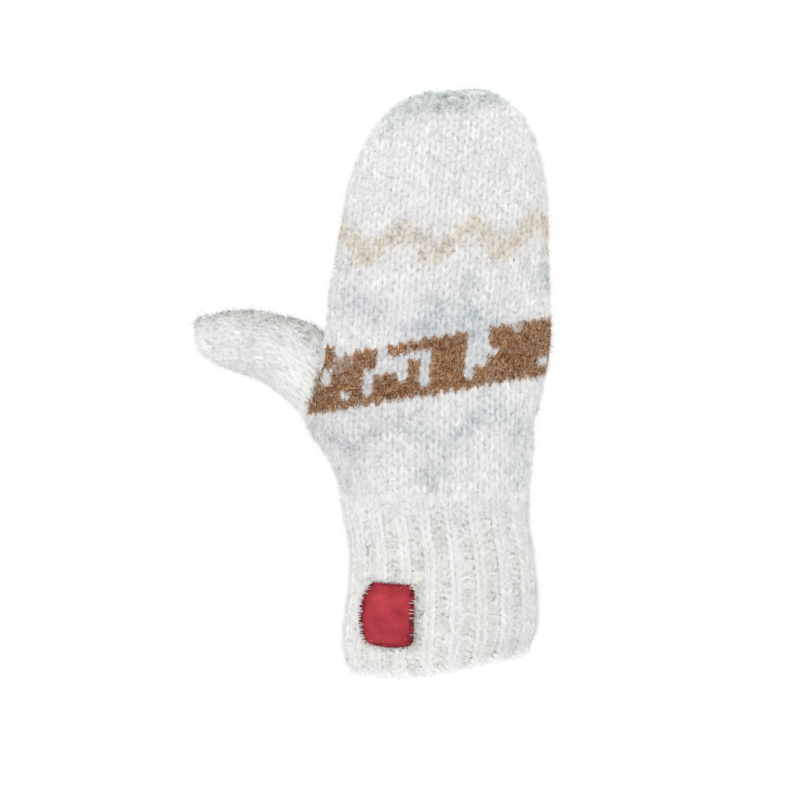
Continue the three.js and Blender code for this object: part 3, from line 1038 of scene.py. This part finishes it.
class Tree(Nodes):
    """Geometry Nodes that set copies of a form on points, with a seed, sizes and a finish."""

    KINDS = {int: "Int", float: "Float", tuple: "Vector"}

    def __init__(self, name, **sizes):
        super().__init__(bpy.data.node_groups.new(name, "GeometryNodeTree"))
        self.add_socket("Geometry", "Geometry")
        self.add_socket("Form", "Object")
        self.add_socket("Finish", "Material")
        for label, value in sizes.items():
            self.add_socket(label, self.KINDS[type(value)], value)
        self.add_socket("Geometry", "Geometry", in_out="OUTPUT")
        self.given = self.tree.nodes.new("NodeGroupInput").outputs

    def add_socket(self, label, kind, value=None, in_out="INPUT"):
        kind = "NodeSocket" + kind
        socket = self.tree.interface.new_socket(label.replace("_", " "), in_out=in_out, socket_type=kind)
        if value is not None:
            socket.default_value = value

    def stored(self, name, kind):
        return self.node("GeometryNodeInputNamedAttribute", {"data_type": kind}, Name=name)

    def turned(self, first, second):
        settings = {"rotation_space": "LOCAL"}
        return self.node("FunctionNodeRotateRotation", settings, Rotation=first, Rotate_By=second)

    def placed(self, points, turn, size):
        """Copies of the form on points."""
        settings = {"transform_space": "ORIGINAL"}
        form = self.node("GeometryNodeObjectInfo", settings, Object=self.given["Form"])
        return self.node(
            "GeometryNodeInstanceOnPoints",
            Points=points,
            Instance=form.outputs["Geometry"],
            Rotation=turn,
            Scale=size,
        )

    def finish(self, instances):
        """Ends the tree: its copies become plain mesh and wear the finish."""
        real = self.node("GeometryNodeRealizeInstances", Geometry=instances)
        dressed = self.node("GeometryNodeSetMaterial", Geometry=real, Material=self.given["Finish"])
        self.give(self.tree.nodes.new("NodeGroupOutput").inputs[0], dressed)
        return self.tree


def stitch_tree():
    """Sets a loop of yarn on every point of a skeleton."""
    tree = Tree("knitted_cloth", Seed=3, Yarn_thickness=1.0, Wobble=WOBBLE)
    given = tree.given
    both_ways = {"Min": (-1, -1, -1), "Max": (1, 1, 1)}
    vector = {"data_type": "FLOAT_VECTOR"}
    swing = tree.node("FunctionNodeRandomValue", vector, Seed=given["Seed"], **both_ways)
    wobble = tree.node("ShaderNodeVectorMath", {"operation": "SCALE"}, Vector=swing, Scale=given["Wobble"])
    shaken = tree.node("FunctionNodeEulerToRotation", Euler=wobble)
    turn = tree.turned(tree.stored("turn", "QUATERNION"), shaken)
    depth = tree.node("ShaderNodeCombineXYZ", X=1.0, Y=given["Yarn thickness"], Z=1.0)
    stored = tree.stored("size", "FLOAT_VECTOR")
    size = tree.node("ShaderNodeVectorMath", {"operation": "MULTIPLY"}, stored, depth)
    return tree.finish(tree.placed(given["Geometry"], turn, size))


def nap_tree():
    """Scatters hairs over the outer side of every stitch, each with a tone of its own."""
    tree = Tree("brushed_nap", Seed=5, Roots_from=NAP_FROM, Roots_to=NAP_TO, **HAIRS)
    given = tree.given

    def drawn(low, high, step, kind="FLOAT"):
        """Random values with a seed of their own."""
        seed = tree.node("ShaderNodeMath", {"operation": "ADD"}, given["Seed"], float(step))
        mark = "_001" if kind == "FLOAT" else ""
        ends = {"Min" + mark: low, "Max" + mark: high}
        return tree.node("FunctionNodeRandomValue", {"data_type": kind}, Seed=seed, **ends)

    many = tree.node(
        "GeometryNodeDuplicateElements",
        {"domain": "POINT"},
        Geometry=given["Geometry"],
        Amount=given["Per stitch"],
    )
    turn = tree.stored("turn", "QUATERNION")
    root = drawn(given["Roots from"], given["Roots to"], 0, "FLOAT_VECTOR")
    offset = tree.node("FunctionNodeRotateVector", Vector=root, Rotation=turn)
    moved = tree.node("GeometryNodeSetPosition", Geometry=many, Offset=offset)
    leaning = tree.node(
        "ShaderNodeCombineXYZ",
        X=drawn(given["Least lean"], given["Most lean"], 1),
        Z=drawn(-math.pi, math.pi, 4),
    )
    lean = tree.node("FunctionNodeEulerToRotation", Euler=leaning)
    out = tree.node("FunctionNodeEulerToRotation", Euler=(math.pi / 2, 0.0, 0.0))
    facing = tree.turned(tree.turned(turn, out), lean)
    placed = tree.placed(moved, facing, drawn(given["Shortest"], given["Longest"], 2))
    toned = tree.node(
        "GeometryNodeStoreNamedAttribute",
        {"data_type": "FLOAT", "domain": "INSTANCE"},
        Geometry=placed,
        Name="tone",
        Value=drawn(0.0, 1.0, 3),
    )
    return tree.finish(toned)


def lay_out_cells(mesh, faces_each):
    """A map for textures on which every stitch or fibre has a square cell of its own."""
    faces = len(mesh.polygons)
    grid = math.ceil(math.sqrt(faces // faces_each))
    inner = np.empty(len(mesh.loops) * 2)
    mesh.uv_layers["yarn"].data.foreach_get("uv", inner)
    totals = np.empty(faces, int)
    mesh.polygons.foreach_get("loop_total", totals)
    owner = np.repeat(np.arange(faces) // faces_each, totals)
    cell = np.stack([owner % grid, owner // grid], axis=-1)
    outer = (cell + CELL_MARGIN + (1 - 2 * CELL_MARGIN) * np.clip(inner.reshape(-1, 2), 0, 1)) / grid
    mesh.uv_layers.new(name="OFBake").data.foreach_set("uv", outer.ravel())


def grown(name, base, tree, form, finish, **values):
    """A plain mesh of copies of a form, which a tree sets on the points of a base."""
    worker = linked(name + "_maker", base.data)
    modifier = worker.modifiers.new("maker", "NODES")
    modifier.node_group = tree
    values.update(Form=form, Finish=finish)
    for item in tree.interface.items_tree:
        label = item.name.replace(" ", "_")
        if item.item_type == "SOCKET" and item.in_out == "INPUT" and label in values:
            modifier[item.identifier] = values[label]
    bpy.context.view_layer.update()
    seen = worker.evaluated_get(bpy.context.evaluated_depsgraph_get())
    mesh = bpy.data.meshes.new_from_object(seen)
    mesh.name = name
    worker.modifiers.remove(modifier)
    bpy.data.objects.remove(worker)
    lay_out_cells(mesh, len(form.data.polygons))
    return linked(name, mesh)


# Materials

class Value:
    """A number from a shader's nodes; each operator adds a Math node."""

    def __init__(self, look, socket):
        self.look, self.socket = look, socket

    def _math(self, operation, *numbers):
        return self.look.number(self.look.node("ShaderNodeMath", {"operation": operation}, *numbers))

    def __add__(self, other):
        return self._math("ADD", self, other)

    def __mul__(self, other):
        return self._math("MULTIPLY", self, other)

    def __sub__(self, other):
        return self._math("SUBTRACT", self, other)

    def __rsub__(self, other):
        return self._math("SUBTRACT", other, self)

    __radd__ = __add__
    __rmul__ = __mul__

    def clipped(self, low=0.0):
        """The number, but no less than low and no more than 1."""
        return self._math("MINIMUM", self._math("MAXIMUM", self, low), 1.0)

    def above(self, edge, steepness):
        """A share that grows from 0 at an edge."""
        return ((self - edge) * steepness).clipped()

    def below(self, edge, steepness, least=0.0):
        """A share that grows below an edge."""
        return ((edge - self) * steepness).clipped(least)

    def wave(self, pitch):
        """A wave from 0 to 1 with a pitch."""
        return self._math("SINE", self * (CIRCLE / pitch)) * 0.5 + 0.5


class Look(Nodes):
    """A material in the making."""

    def __init__(self, name, **shader):
        self.material = bpy.data.materials.new(name)
        self.material.use_nodes = True
        super().__init__(self.material.node_tree)
        self.shader = self.tree.nodes["Principled BSDF"]
        for label, value in shader.items():
            self.shader.inputs[label.replace("_", " ")].default_value = value
        self.place = self.node("ShaderNodeTexCoord").outputs["Object"]

    def number(self, node, output=0):
        return Value(self, node.outputs[output])

    def axes(self, vector):
        """The numbers of a vector, by the names X, Y and Z."""
        parts = self.node("ShaderNodeSeparateXYZ", None, vector)
        return {name: self.number(parts, name) for name in "XYZ"}

    def stored(self, name):
        return self.node("ShaderNodeAttribute", {"attribute_name": name})

    def mixed(self, share, first, second, blend_type="MIX"):
        settings = {"data_type": "RGBA", "blend_type": blend_type}
        mix = self.node("ShaderNodeMix", settings, Factor_Float=share, A_Color=first, B_Color=second)
        return next(output for output in mix.outputs if output.type == "RGBA")

    def shaded(self, colour, power):
        """A darker shade of a colour for a power over 1, and a paler one for less."""
        return self.node("ShaderNodeGamma", None, colour, power)

    def noise(self, scale, detail, place=None):
        """Noise from 0 to 1 that changes over an object, or over a place that is given."""
        values = {"Scale": scale, "Detail": detail, "Roughness": 0.6}
        place = self.place if place is None else place
        return self.number(self.node("ShaderNodeTexNoise", None, Vector=place, **values))

    def with_gaps(self, colour):
        """A colour with painted shade in the small dark gaps of a loose knit."""
        dots = self.noise(GAP_SCALE, 1.0).below(*GAPS_OPEN)
        share = dots * self.number(self.stored("gaps"), "Fac") * GAP_SHADE_STRENGTH
        return self.mixed(share, colour, GAP_SHADE_TINT)

    def finish(self, colour, **bumps):
        """The material with a colour, and with bumps where the values of a Bump node are given."""
        self.give(self.shader.inputs["Base Color"], colour)
        if bumps:
            self.give(self.shader.inputs["Normal"], self.node("ShaderNodeBump", None, **bumps))
        return self.material


def brushed_yarn():
    """Soft heathered yarn: fine hairs along the strand in a lighter and a darker shade."""
    sheen = {"Sheen_Weight": 0.12, "Sheen_Roughness": 0.6}
    look = Look("brushed_yarn", Roughness=0.95, Specular_IOR_Level=0.2, **sheen)
    strand_map = look.axes(look.node("ShaderNodeUVMap", {"uv_map": "yarn"}))
    along, around = strand_map["X"], strand_map["Y"]
    round_strand = (around + along * FIBRE_TWIST) * FIBRES_AROUND
    twisted = look.node("ShaderNodeCombineXYZ", None, along * FIBRES_ALONG, round_strand, 0.0)
    scale = (FIBRE_CHANGE_SCALE,) * 3
    spot = look.node("ShaderNodeVectorMath", {"operation": "MULTIPLY"}, look.place, scale)
    strands = look.noise(1.0, 3.0, look.node("ShaderNodeVectorMath", {"operation": "ADD"}, twisted, spot))
    specks = look.noise(SPECK_SCALE, 2.0)
    dye = look.stored("dye")
    light = look.mixed(strands.above(*FIBRES_PALE), dye, look.shaded(dye, YARN_PALE))
    deep = specks.below(*SPECKS_DEEP) * SPECK_STRENGTH
    # The yarn takes painted shade at the gaps between stitches
    colour = look.with_gaps(look.mixed(deep, light, look.shaded(dye, YARN_DEEP)))
    return look.finish(colour, Height=strands * 0.7 + specks * 0.5, Strength=0.4, Distance=0.0004)


def loose_fibre():
    """Single hairs, each a little lighter or darker than the yarn that it comes from."""
    look = Look("loose_fibre", Roughness=0.85, Sheen_Weight=0.1, Specular_IOR_Level=0.3)
    dye = look.stored("dye")
    paleness = look.number(look.node("ShaderNodeRGBToBW", None, dye))
    clump = look.noise(CLUMP_SCALE, 2.0)
    drawn = look.number(look.stored("tone"), "Fac")
    tone = drawn * TONE_DRAWN + (clump - 0.5) * TONE_CLUMPS + TONE_BASE
    strength = paleness.below(*PALE_YARN_EVENS)
    darkest = look.shaded(dye, HAIR_DEEP + paleness)
    deep = look.mixed(tone.below(*HAIRS_DEEP) * strength, dye, darkest)
    toned = look.mixed(tone.above(*HAIRS_PALE) * strength, deep, look.shaded(dye, HAIR_PALE))
    # The hairs take painted shade at the gaps between stitches
    return look.finish(look.with_gaps(toned))


def crimson_twill():
    """Fine diagonal twill, with painted shade in its hollows and a little painted shade near its lower
    edge.
    """
    look = Look("crimson_twill", Roughness=0.75, Specular_IOR_Level=0.12)
    place = look.axes(look.place)
    # Painted shade: the twill is darker in the hollows between its ribs
    ribs = (place["X"] + place["Z"]).wave(TWILL_PITCH)
    threads = (place["X"] - place["Z"]).wave(TWILL_THREAD_PITCH)
    cloud = look.noise(110.0, 3.0) - 0.5
    grain = look.noise(1700.0, 1.0)
    # Painted shade: darker towards the label's lower edge
    lower = place["Z"].below(*TWILL_LOW_SHADE_FROM)
    weave = ribs * TWILL_RIBS + threads * TWILL_THREADS + cloud * TWILL_CLOUDS + grain * TWILL_GRAIN
    colour = look.mixed((weave - lower * TWILL_LOW_SHADE - TWILL_LEVEL).clipped(), TWILL_DEEP, TWILL_BRIGHT)
    return look.finish(colour, Height=ribs * 0.7 + threads * 0.3, Strength=0.6, Distance=0.0002)


def overlock_thread():
    """Dark sewing thread; a stitch here and there is white."""
    look = Look("overlock_thread", Roughness=0.65, Specular_IOR_Level=0.3)
    dye = look.stored("dye")
    grain = look.noise(2500.0, 2.0)
    colour = look.mixed(grain, look.mixed(1.0, dye, THREAD_SHADE, "MULTIPLY"), dye)
    return look.finish(colour, Height=grain, Strength=0.4, Distance=0.0001)


def pale_floor():
    look = Look("pale_floor", Roughness=0.8)
    cloud = look.number(look.node("ShaderNodeTexNoise", None, Vector=look.place, Scale=3.0))
    return look.finish(look.mixed(cloud, *FLOOR_TINTS))


# Felt between the loops

def hand_section(level, depth):
    """A ring of points at a depth under the outside of cuff and hand."""
    z, *sides = looked_up(BODY_CURVE, BODY_LEVEL, level)
    if z < CUFF_TOP:
        found = cuff_points(np.arange(FELT_SIDES) / FELT_SIDES, z)
        in_ribs = float(1 - smoothstep(z, CUFF_TOP - RIB_FADE, CUFF_TOP))
        depth = depth + (CUFF_FELT_DEPTH - FELT_DEPTH) * in_ribs
        return found + normalised((centre(sides) - found) * (1, 1, 0)) * depth
    above = looked_up(BODY_CURVE, BODY_LEVEL, min(level + HALF_STEP, TOP_LEVEL))
    below = looked_up(BODY_CURVE, BODY_LEVEL, level - HALF_STEP)
    rise = above[0] - below[0]
    steep = rise / max(math.hypot(rise, above[3] - below[3]), LEAST_REACH)
    x, y = outline(sides, FELT_TURN, depth * steep)
    return np.stack([x, y, z - tip_dent(x, z) - depth * math.sqrt(1 - steep * steep)], axis=-1)


def thumb_section(level, depth):
    """A ring of points at a depth under the outside of the thumb."""
    ring = thumb_ring(level)
    found = ring.at(np.arange(FELT_SIDES) / FELT_SIDES * ring.length)
    below, above = np.interp((level - HALF_STEP, level + HALF_STEP), THUMB_LEVEL, THUMB_KEY)
    steep = min(above - below, 1)
    inwards = found.mean(axis=0) - found
    reach = np.linalg.norm(inwards, axis=1, keepdims=True)
    inset = np.minimum(depth * steep, reach * FELT_DEEPEST_SHARE)
    found = found + inwards / np.maximum(reach, LEAST_REACH) * inset
    found[:, 0] += depth * math.sqrt(max(1 - steep * steep, 0))
    return found


def nearest_dye(stitches):
    """A function that gives the dye of the stitch nearest to a point."""
    tree = KDTree(len(stitches.middle))
    for index, middle in enumerate(stitches.middle):
        tree.insert(middle, index)
    tree.balance()
    return lambda point: stitches.dye[tree.find(point)[1]]


def felt(name, section, levels, stitches, material):
    """A closed thin shell inside the loops, with its outer rings first and its inner ones after them."""
    outer = [section(level, FELT_DEPTH) for level in levels]
    inner = [section(level, FELT_DEPTH + FELT_THICKNESS) for level in levels]
    rings = outer + inner[::-1]
    last_outer = len(levels) - 1
    first_inner = len(levels)
    vertices = [point for ring in rings for point in ring]
    faces = []
    for k in range(len(rings)):
        if k != last_outer:
            faces += ring_faces(k, (k + 1) % len(rings), FELT_SIDES)
    for k in (last_outer, first_inner):
        hub = len(vertices)
        vertices.append(rings[k].mean(axis=0))
        edges = ring_faces(k, k, FELT_SIDES)
        faces += [(a, b, hub) if k == last_outer else (b, a, hub) for a, b, _, _ in edges]
    thing = mesh_object(name, vertices, faces)
    nearest = nearest_dye(stitches)
    add_attribute(thing.data, "dye", "FLOAT_COLOR", [(*nearest(point), 1.0) for point in vertices])
    yarn = thing.data.uv_layers.new(name="yarn")
    for loop in thing.data.loops:
        ring, place = divmod(loop.vertex_index, FELT_SIDES)
        yarn.data[loop.index].uv = (place / FELT_SIDES, ring / len(rings))
    smooth(thing.data)
    thing.data.materials.append(material)
    return thing


# Label

def cuff_front(x, height, distance):
    """A point on the front of the cuff's crests, moved out by a distance."""
    rise = RIM_RISE * float(smoothstep(x, RISE_FROM_X, RISE_TO_X))
    level = (height - rise) / (1 - rise / CUFF_TOP)
    _, left, right, front, back = (float(v) for v in looked_up(BODY_CURVE, BODY_HEIGHTS, level))
    reach = (x - (left + right) / 2) / ((right - left) / 2)
    depth = (1 - abs(reach) ** (2 / BODY_ROUNDNESS)) ** (BODY_ROUNDNESS / 2)
    slope = 2 / BODY_ROUNDNESS - 1
    sideways = math.copysign(abs(reach) ** slope, reach) / (right - left)
    outwards = Vector((sideways, -(depth**slope) / (back - front), 0))
    outwards.normalize()
    base = Vector((x, (front + back) / 2 - (back - front) / 2 * depth, height))
    return base + outwards * distance


def label_bow(x, place):
    """How far the label's lower edge sags and its upper edge tilts at a place from 0 below to 1 above."""
    low = LABEL_SAG * ((x - LABEL_MIDDLE_X) / LABEL_HALF_WIDTH) ** 2 - LABEL_SAG_LOWEST
    high = -LABEL_TILT * (x - LABEL_MIDDLE_X) / LABEL_HALF_WIDTH
    return low * (1 - place) ** 3 + high * place**3


def under_label(points):
    """Which points lie behind the label, away from its edges."""
    heights = points[:, 2]
    _, left, right = looked_up(LABEL_CURVE, LABEL_CURVE[:, 0], heights)
    level = (heights > LABEL[0][0] + LABEL_COVERS) & (heights < LABEL[-1][0] - LABEL_COVERS)
    across = (points[:, 0] > left + LABEL_COVERS) & (points[:, 0] < right - LABEL_COVERS)
    return level & across & (points[:, 1] < 0)


def label_object(material):
    """A folded piece of twill: thin in the middle, thicker along its hems, and rounded at its edges."""
    place = np.linspace(0, 1, LABEL_ROWS)
    curve_rows = len(LABEL_CURVE)
    sections = np.transpose(looked_up(LABEL_CURVE, np.arange(curve_rows), place * (curve_rows - 1)))
    lowest, highest = sections[0][0], sections[-1][0]
    outer, inner = [], []
    for share_up, (z, left, right) in zip(place, sections):
        for column in range(LABEL_COLUMNS):
            x = left + (right - left) * column / (LABEL_COLUMNS - 1)
            edge = min(x - left, right - x, z - lowest, highest - z)
            rounded = math.sqrt(max(1 - (1 - min(max(edge, 0) / LABEL_ROUNDING, 1)) ** 2, 0))
            hem = LABEL_HEM_HEIGHT * float(1 - smoothstep(edge, LABEL_HEM - LABEL_HEM_SLOPE, LABEL_HEM))
            base = LABEL_OFF + sum(height * math.sin(x * a + z * b) for height, a, b in LABEL_WAVES)
            fold = (LABEL_THICKNESS - LABEL_EDGE_THICKNESS + hem) * rounded
            up = z + label_bow(x, share_up)
            outer.append(cuff_front(x, up, base + LABEL_EDGE_THICKNESS + fold))
            inner.append(cuff_front(x, up, base))
    size = len(outer)
    last_column = LABEL_COLUMNS - 1
    last_row = LABEL_ROWS - 1
    faces = []
    for row in range(last_row):
        for column in range(last_column):
            a = row * LABEL_COLUMNS + column
            b = a + LABEL_COLUMNS
            faces.append((a, a + 1, b + 1, b))
            faces.append((size + a, size + b, size + b + 1, size + a + 1))
    border = list(range(last_column))
    border += [row * LABEL_COLUMNS + last_column for row in range(last_row)]
    border += [last_row * LABEL_COLUMNS + column for column in range(last_column, 0, -1)]
    border += [row * LABEL_COLUMNS for row in range(last_row, 0, -1)]
    for a, b in zip(border, border[1:] + border[:1]):
        faces.append((a, size + a, size + b, b))
    thing = mesh_object("woven_label", outer + inner, faces)
    smooth(thing.data)
    thing.data.materials.append(material)
    return thing


def add_thread(stitches, x, z, inner, outer, dye, side=1):
    """Adds a stitch of thread over the label's edge at x and z, from one point to another."""
    along = np.array(inner - outer)
    out = np.array(cuff_front(x, z, 1.0) - cuff_front(x, z, 0.0))
    up = normalised(np.cross(along, out))
    stitches.add([np.array(inner + outer) / 2], [along * side], [up * side], [0.0], [dye])


def edge_stitches():
    """Overlock stitches round the label, which lean to and fro down its sides."""
    stitches = Stitches()
    lowest, highest = LABEL[0][0], LABEL[-1][0]
    high_in, high_out = (LABEL_OFF + height for height in OVERLOCK_HEIGHTS)
    for side, column in ((1, 1), (-1, 2)):
        for z in np.arange(lowest + OVERLOCK_ENDS[0], highest - OVERLOCK_ENDS[1], OVERLOCK_STEP):
            x = float(np.interp(z, LABEL_CURVE[:, 0], LABEL_CURVE[:, column]))
            inner = cuff_front(x + side * rng.uniform(*OVERLOCK_IN), z, high_in)
            outer_x = x - side * rng.uniform(*OVERLOCK_OUT)
            outer = cuff_front(outer_x, z + rng.uniform(*OVERLOCK_LEAN), high_out)
            bare = rng.random() < BARE_THREAD_SHARE
            dye = PALE_THREAD if bare else blend(RED_THREAD, DARK_THREAD, rng.random())
            add_thread(stitches, x, z, inner, outer, dye, side)
    high_in, high_out = (LABEL_OFF + height for height in HEM_HEIGHTS)
    for (height, left, right), way in ((LABEL[0], -1), (LABEL[-1], 1)):
        for x in np.arange(left + HEM_ENDS[0], right - HEM_ENDS[1], HEM_STEP):
            z = height + label_bow(x, 1)
            inner = cuff_front(x, z - way * rng.uniform(*HEM_IN), high_in)
            outer_x = x + rng.uniform(*HEM_LEAN)
            outer = cuff_front(outer_x, z + way * rng.uniform(*HEM_OUT), high_out)
            dye = blend(RED_THREAD, DARK_THREAD, rng.uniform(0, HEM_DARKEST))
            add_thread(stitches, x, z, inner, outer, dye)
    return stitches


# Assembly

def finished(piece, slot, *nodes):
    """Gives a piece its body and hides the CAD nodes that it stands for; its slot is not used."""
    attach(piece, "root")
    if nodes:
        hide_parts(*nodes)


yarn_finish = brushed_yarn()
hair_finish = loose_fibre()
twill_finish = crimson_twill()
loop_form = knit_loop()
strand_form = strand()
thread_form = thread_arc()
down_form = fibre("down_form", DOWN_PATH, DOWN_RADIUS)
hair_form = fibre("hair_form", HAIR_PATH, HAIR_RADIUS)
cloth_tree = stitch_tree()
fuzz_tree = nap_tree()

hand_rows = hand_stitches()
thumb = thumb_stitches()
thumb = thumb.where(~inside_body(np.array(thumb.middle), THUMB_HIDES_AT))
palm = joined(*hand_rows[:PALM_ROWS])
palm = palm.where(~inside_thumb(np.array(palm.middle), HAND_HIDES_AT))
fingers = joined(*hand_rows[PALM_ROWS:])
cuff = cuff_stitches()

knitted_parts = [
    ("palm", palm, "hand", DOWN_PER_STITCH),
    ("fingers", fingers, "hand", DOWN_PER_STITCH),
    ("cuff", cuff, "cuff", CUFF_DOWN_PER_STITCH),
    ("thumb", thumb, "thumb", DOWN_PER_STITCH),
]
for seed, (part, stitches, node, down_each) in enumerate(knitted_parts, 1):
    base = skeleton(part + "_skeleton", stitches)
    cloth = grown(part + "_stitches", base, cloth_tree, loop_form, yarn_finish, Seed=seed)
    finished(cloth, "ivory_knit", node)
    bpy.data.objects.remove(base)
    bare = stitches.where(~under_label(np.array(stitches.middle)))
    brown = bare.where([dye == BROWN for dye in bare.dye])
    forward = CUFF_NAP_FORWARD if part == "cuff" else 0.0
    base = skeleton(part + "_roots", joined(bare, brown), depth=LOOP_UNDER_OUTSIDE - forward, nap=True)
    nap = {"Seed": seed * 10, "Per_stitch": down_each, **DOWN}
    down = grown(part + "_down", base, fuzz_tree, down_form, hair_finish, **nap)
    hairs = grown(part + "_hairs", base, fuzz_tree, hair_form, hair_finish, Seed=seed * 10 + 5)
    finished(down, "ivory_knit")
    finished(hairs, "ivory_knit")
    bpy.data.objects.remove(base)

felt_start = np.interp(FELT_FROM_Z, BODY_HEIGHTS, BODY_LEVEL)
hand_levels = np.linspace(felt_start, TOP_LEVEL - FELT_BELOW_TOP, HAND_FELT_RINGS)
thumb_levels = np.linspace(THUMB_FROM_X, THUMB_LEVEL[-1] - FELT_BELOW_TOP, THUMB_FELT_RINGS)
whole_hand = joined(palm, fingers, cuff)
finished(felt("hand_felt", hand_section, hand_levels, whole_hand, yarn_finish), "ivory_knit")
finished(felt("thumb_felt", thumb_section, thumb_levels, thumb, yarn_finish), "ivory_knit")

base = skeleton("rim_skeleton", rim_strands(), (STRAND_LENGTH, 1), STRAND_DEPTH, RIM_DRIFT)
rope = grown("cast_on_edge", base, cloth_tree, strand_form, yarn_finish, Seed=6, Wobble=RIM_WOBBLE)
finished(rope, "ivory_knit")
rope_down = grown("cast_on_down", base, fuzz_tree, down_form, hair_finish, Seed=90, **RIM_DOWN)
finished(rope_down, "ivory_knit")
bpy.data.objects.remove(base)

base = skeleton("overlock_skeleton", edge_stitches(), THREAD_FORM, 0.0, THREAD_DRIFT)
thread = {"form": thread_form, "finish": overlock_thread(), "Seed": 7, "Wobble": THREAD_WOBBLE}
overlock = grown("label_overlock", base, cloth_tree, **thread)
finished(overlock, "red_twill")
bpy.data.objects.remove(base)

for form in (loop_form, down_form, hair_form, strand_form, thread_form):
    bpy.data.objects.remove(form)

label = label_object(twill_finish)
finished(label, "red_twill", "label")


# Studio

def softbox(name, place, size, power):
    light = bpy.data.lights.new(name, "AREA")
    light.shape = "SQUARE"
    light.size = size
    light.energy = power
    lamp = linked(name, light)
    lamp.location = place
    lamp.rotation_euler = (Vector(LAMPS_AIM_AT) - Vector(place)).to_track_quat("-Z", "Y").to_euler()


floor_angles = np.linspace(0, CIRCLE, FLOOR_SIDES, endpoint=False)
floor_edge = [(FLOOR_RADIUS * math.cos(a), FLOOR_RADIUS * math.sin(a), FLOOR_Z) for a in floor_angles]
floor = mesh_object("studio_floor", floor_edge, [tuple(range(FLOOR_SIDES))], 1.0)
floor.data.materials.append(pale_floor())

world = bpy.data.worlds.new("studio")
world.use_nodes = True
world.node_tree.nodes["Background"].inputs["Color"].default_value = (1, 1, 1, 1)
world.node_tree.nodes["Background"].inputs["Strength"].default_value = 1.0
bpy.context.scene.world = world

for lamp in SOFTBOXES:
    softbox(*lamp)

camera_data = bpy.data.cameras.new("photo_view")
camera_data.sensor_width = CAMERA_SENSOR
camera_data.lens = CAMERA_SENSOR / VIEW_WIDTH_PER_METRE
camera_data.clip_end = CAMERA_SEES_TO
camera = linked("photo_view", camera_data)
camera.location = CAMERA_PLACE
camera.rotation_euler = (math.pi / 2, 0, 0)
bpy.context.scene.camera = camera
bpy.context.scene.view_settings.view_transform = "Standard"
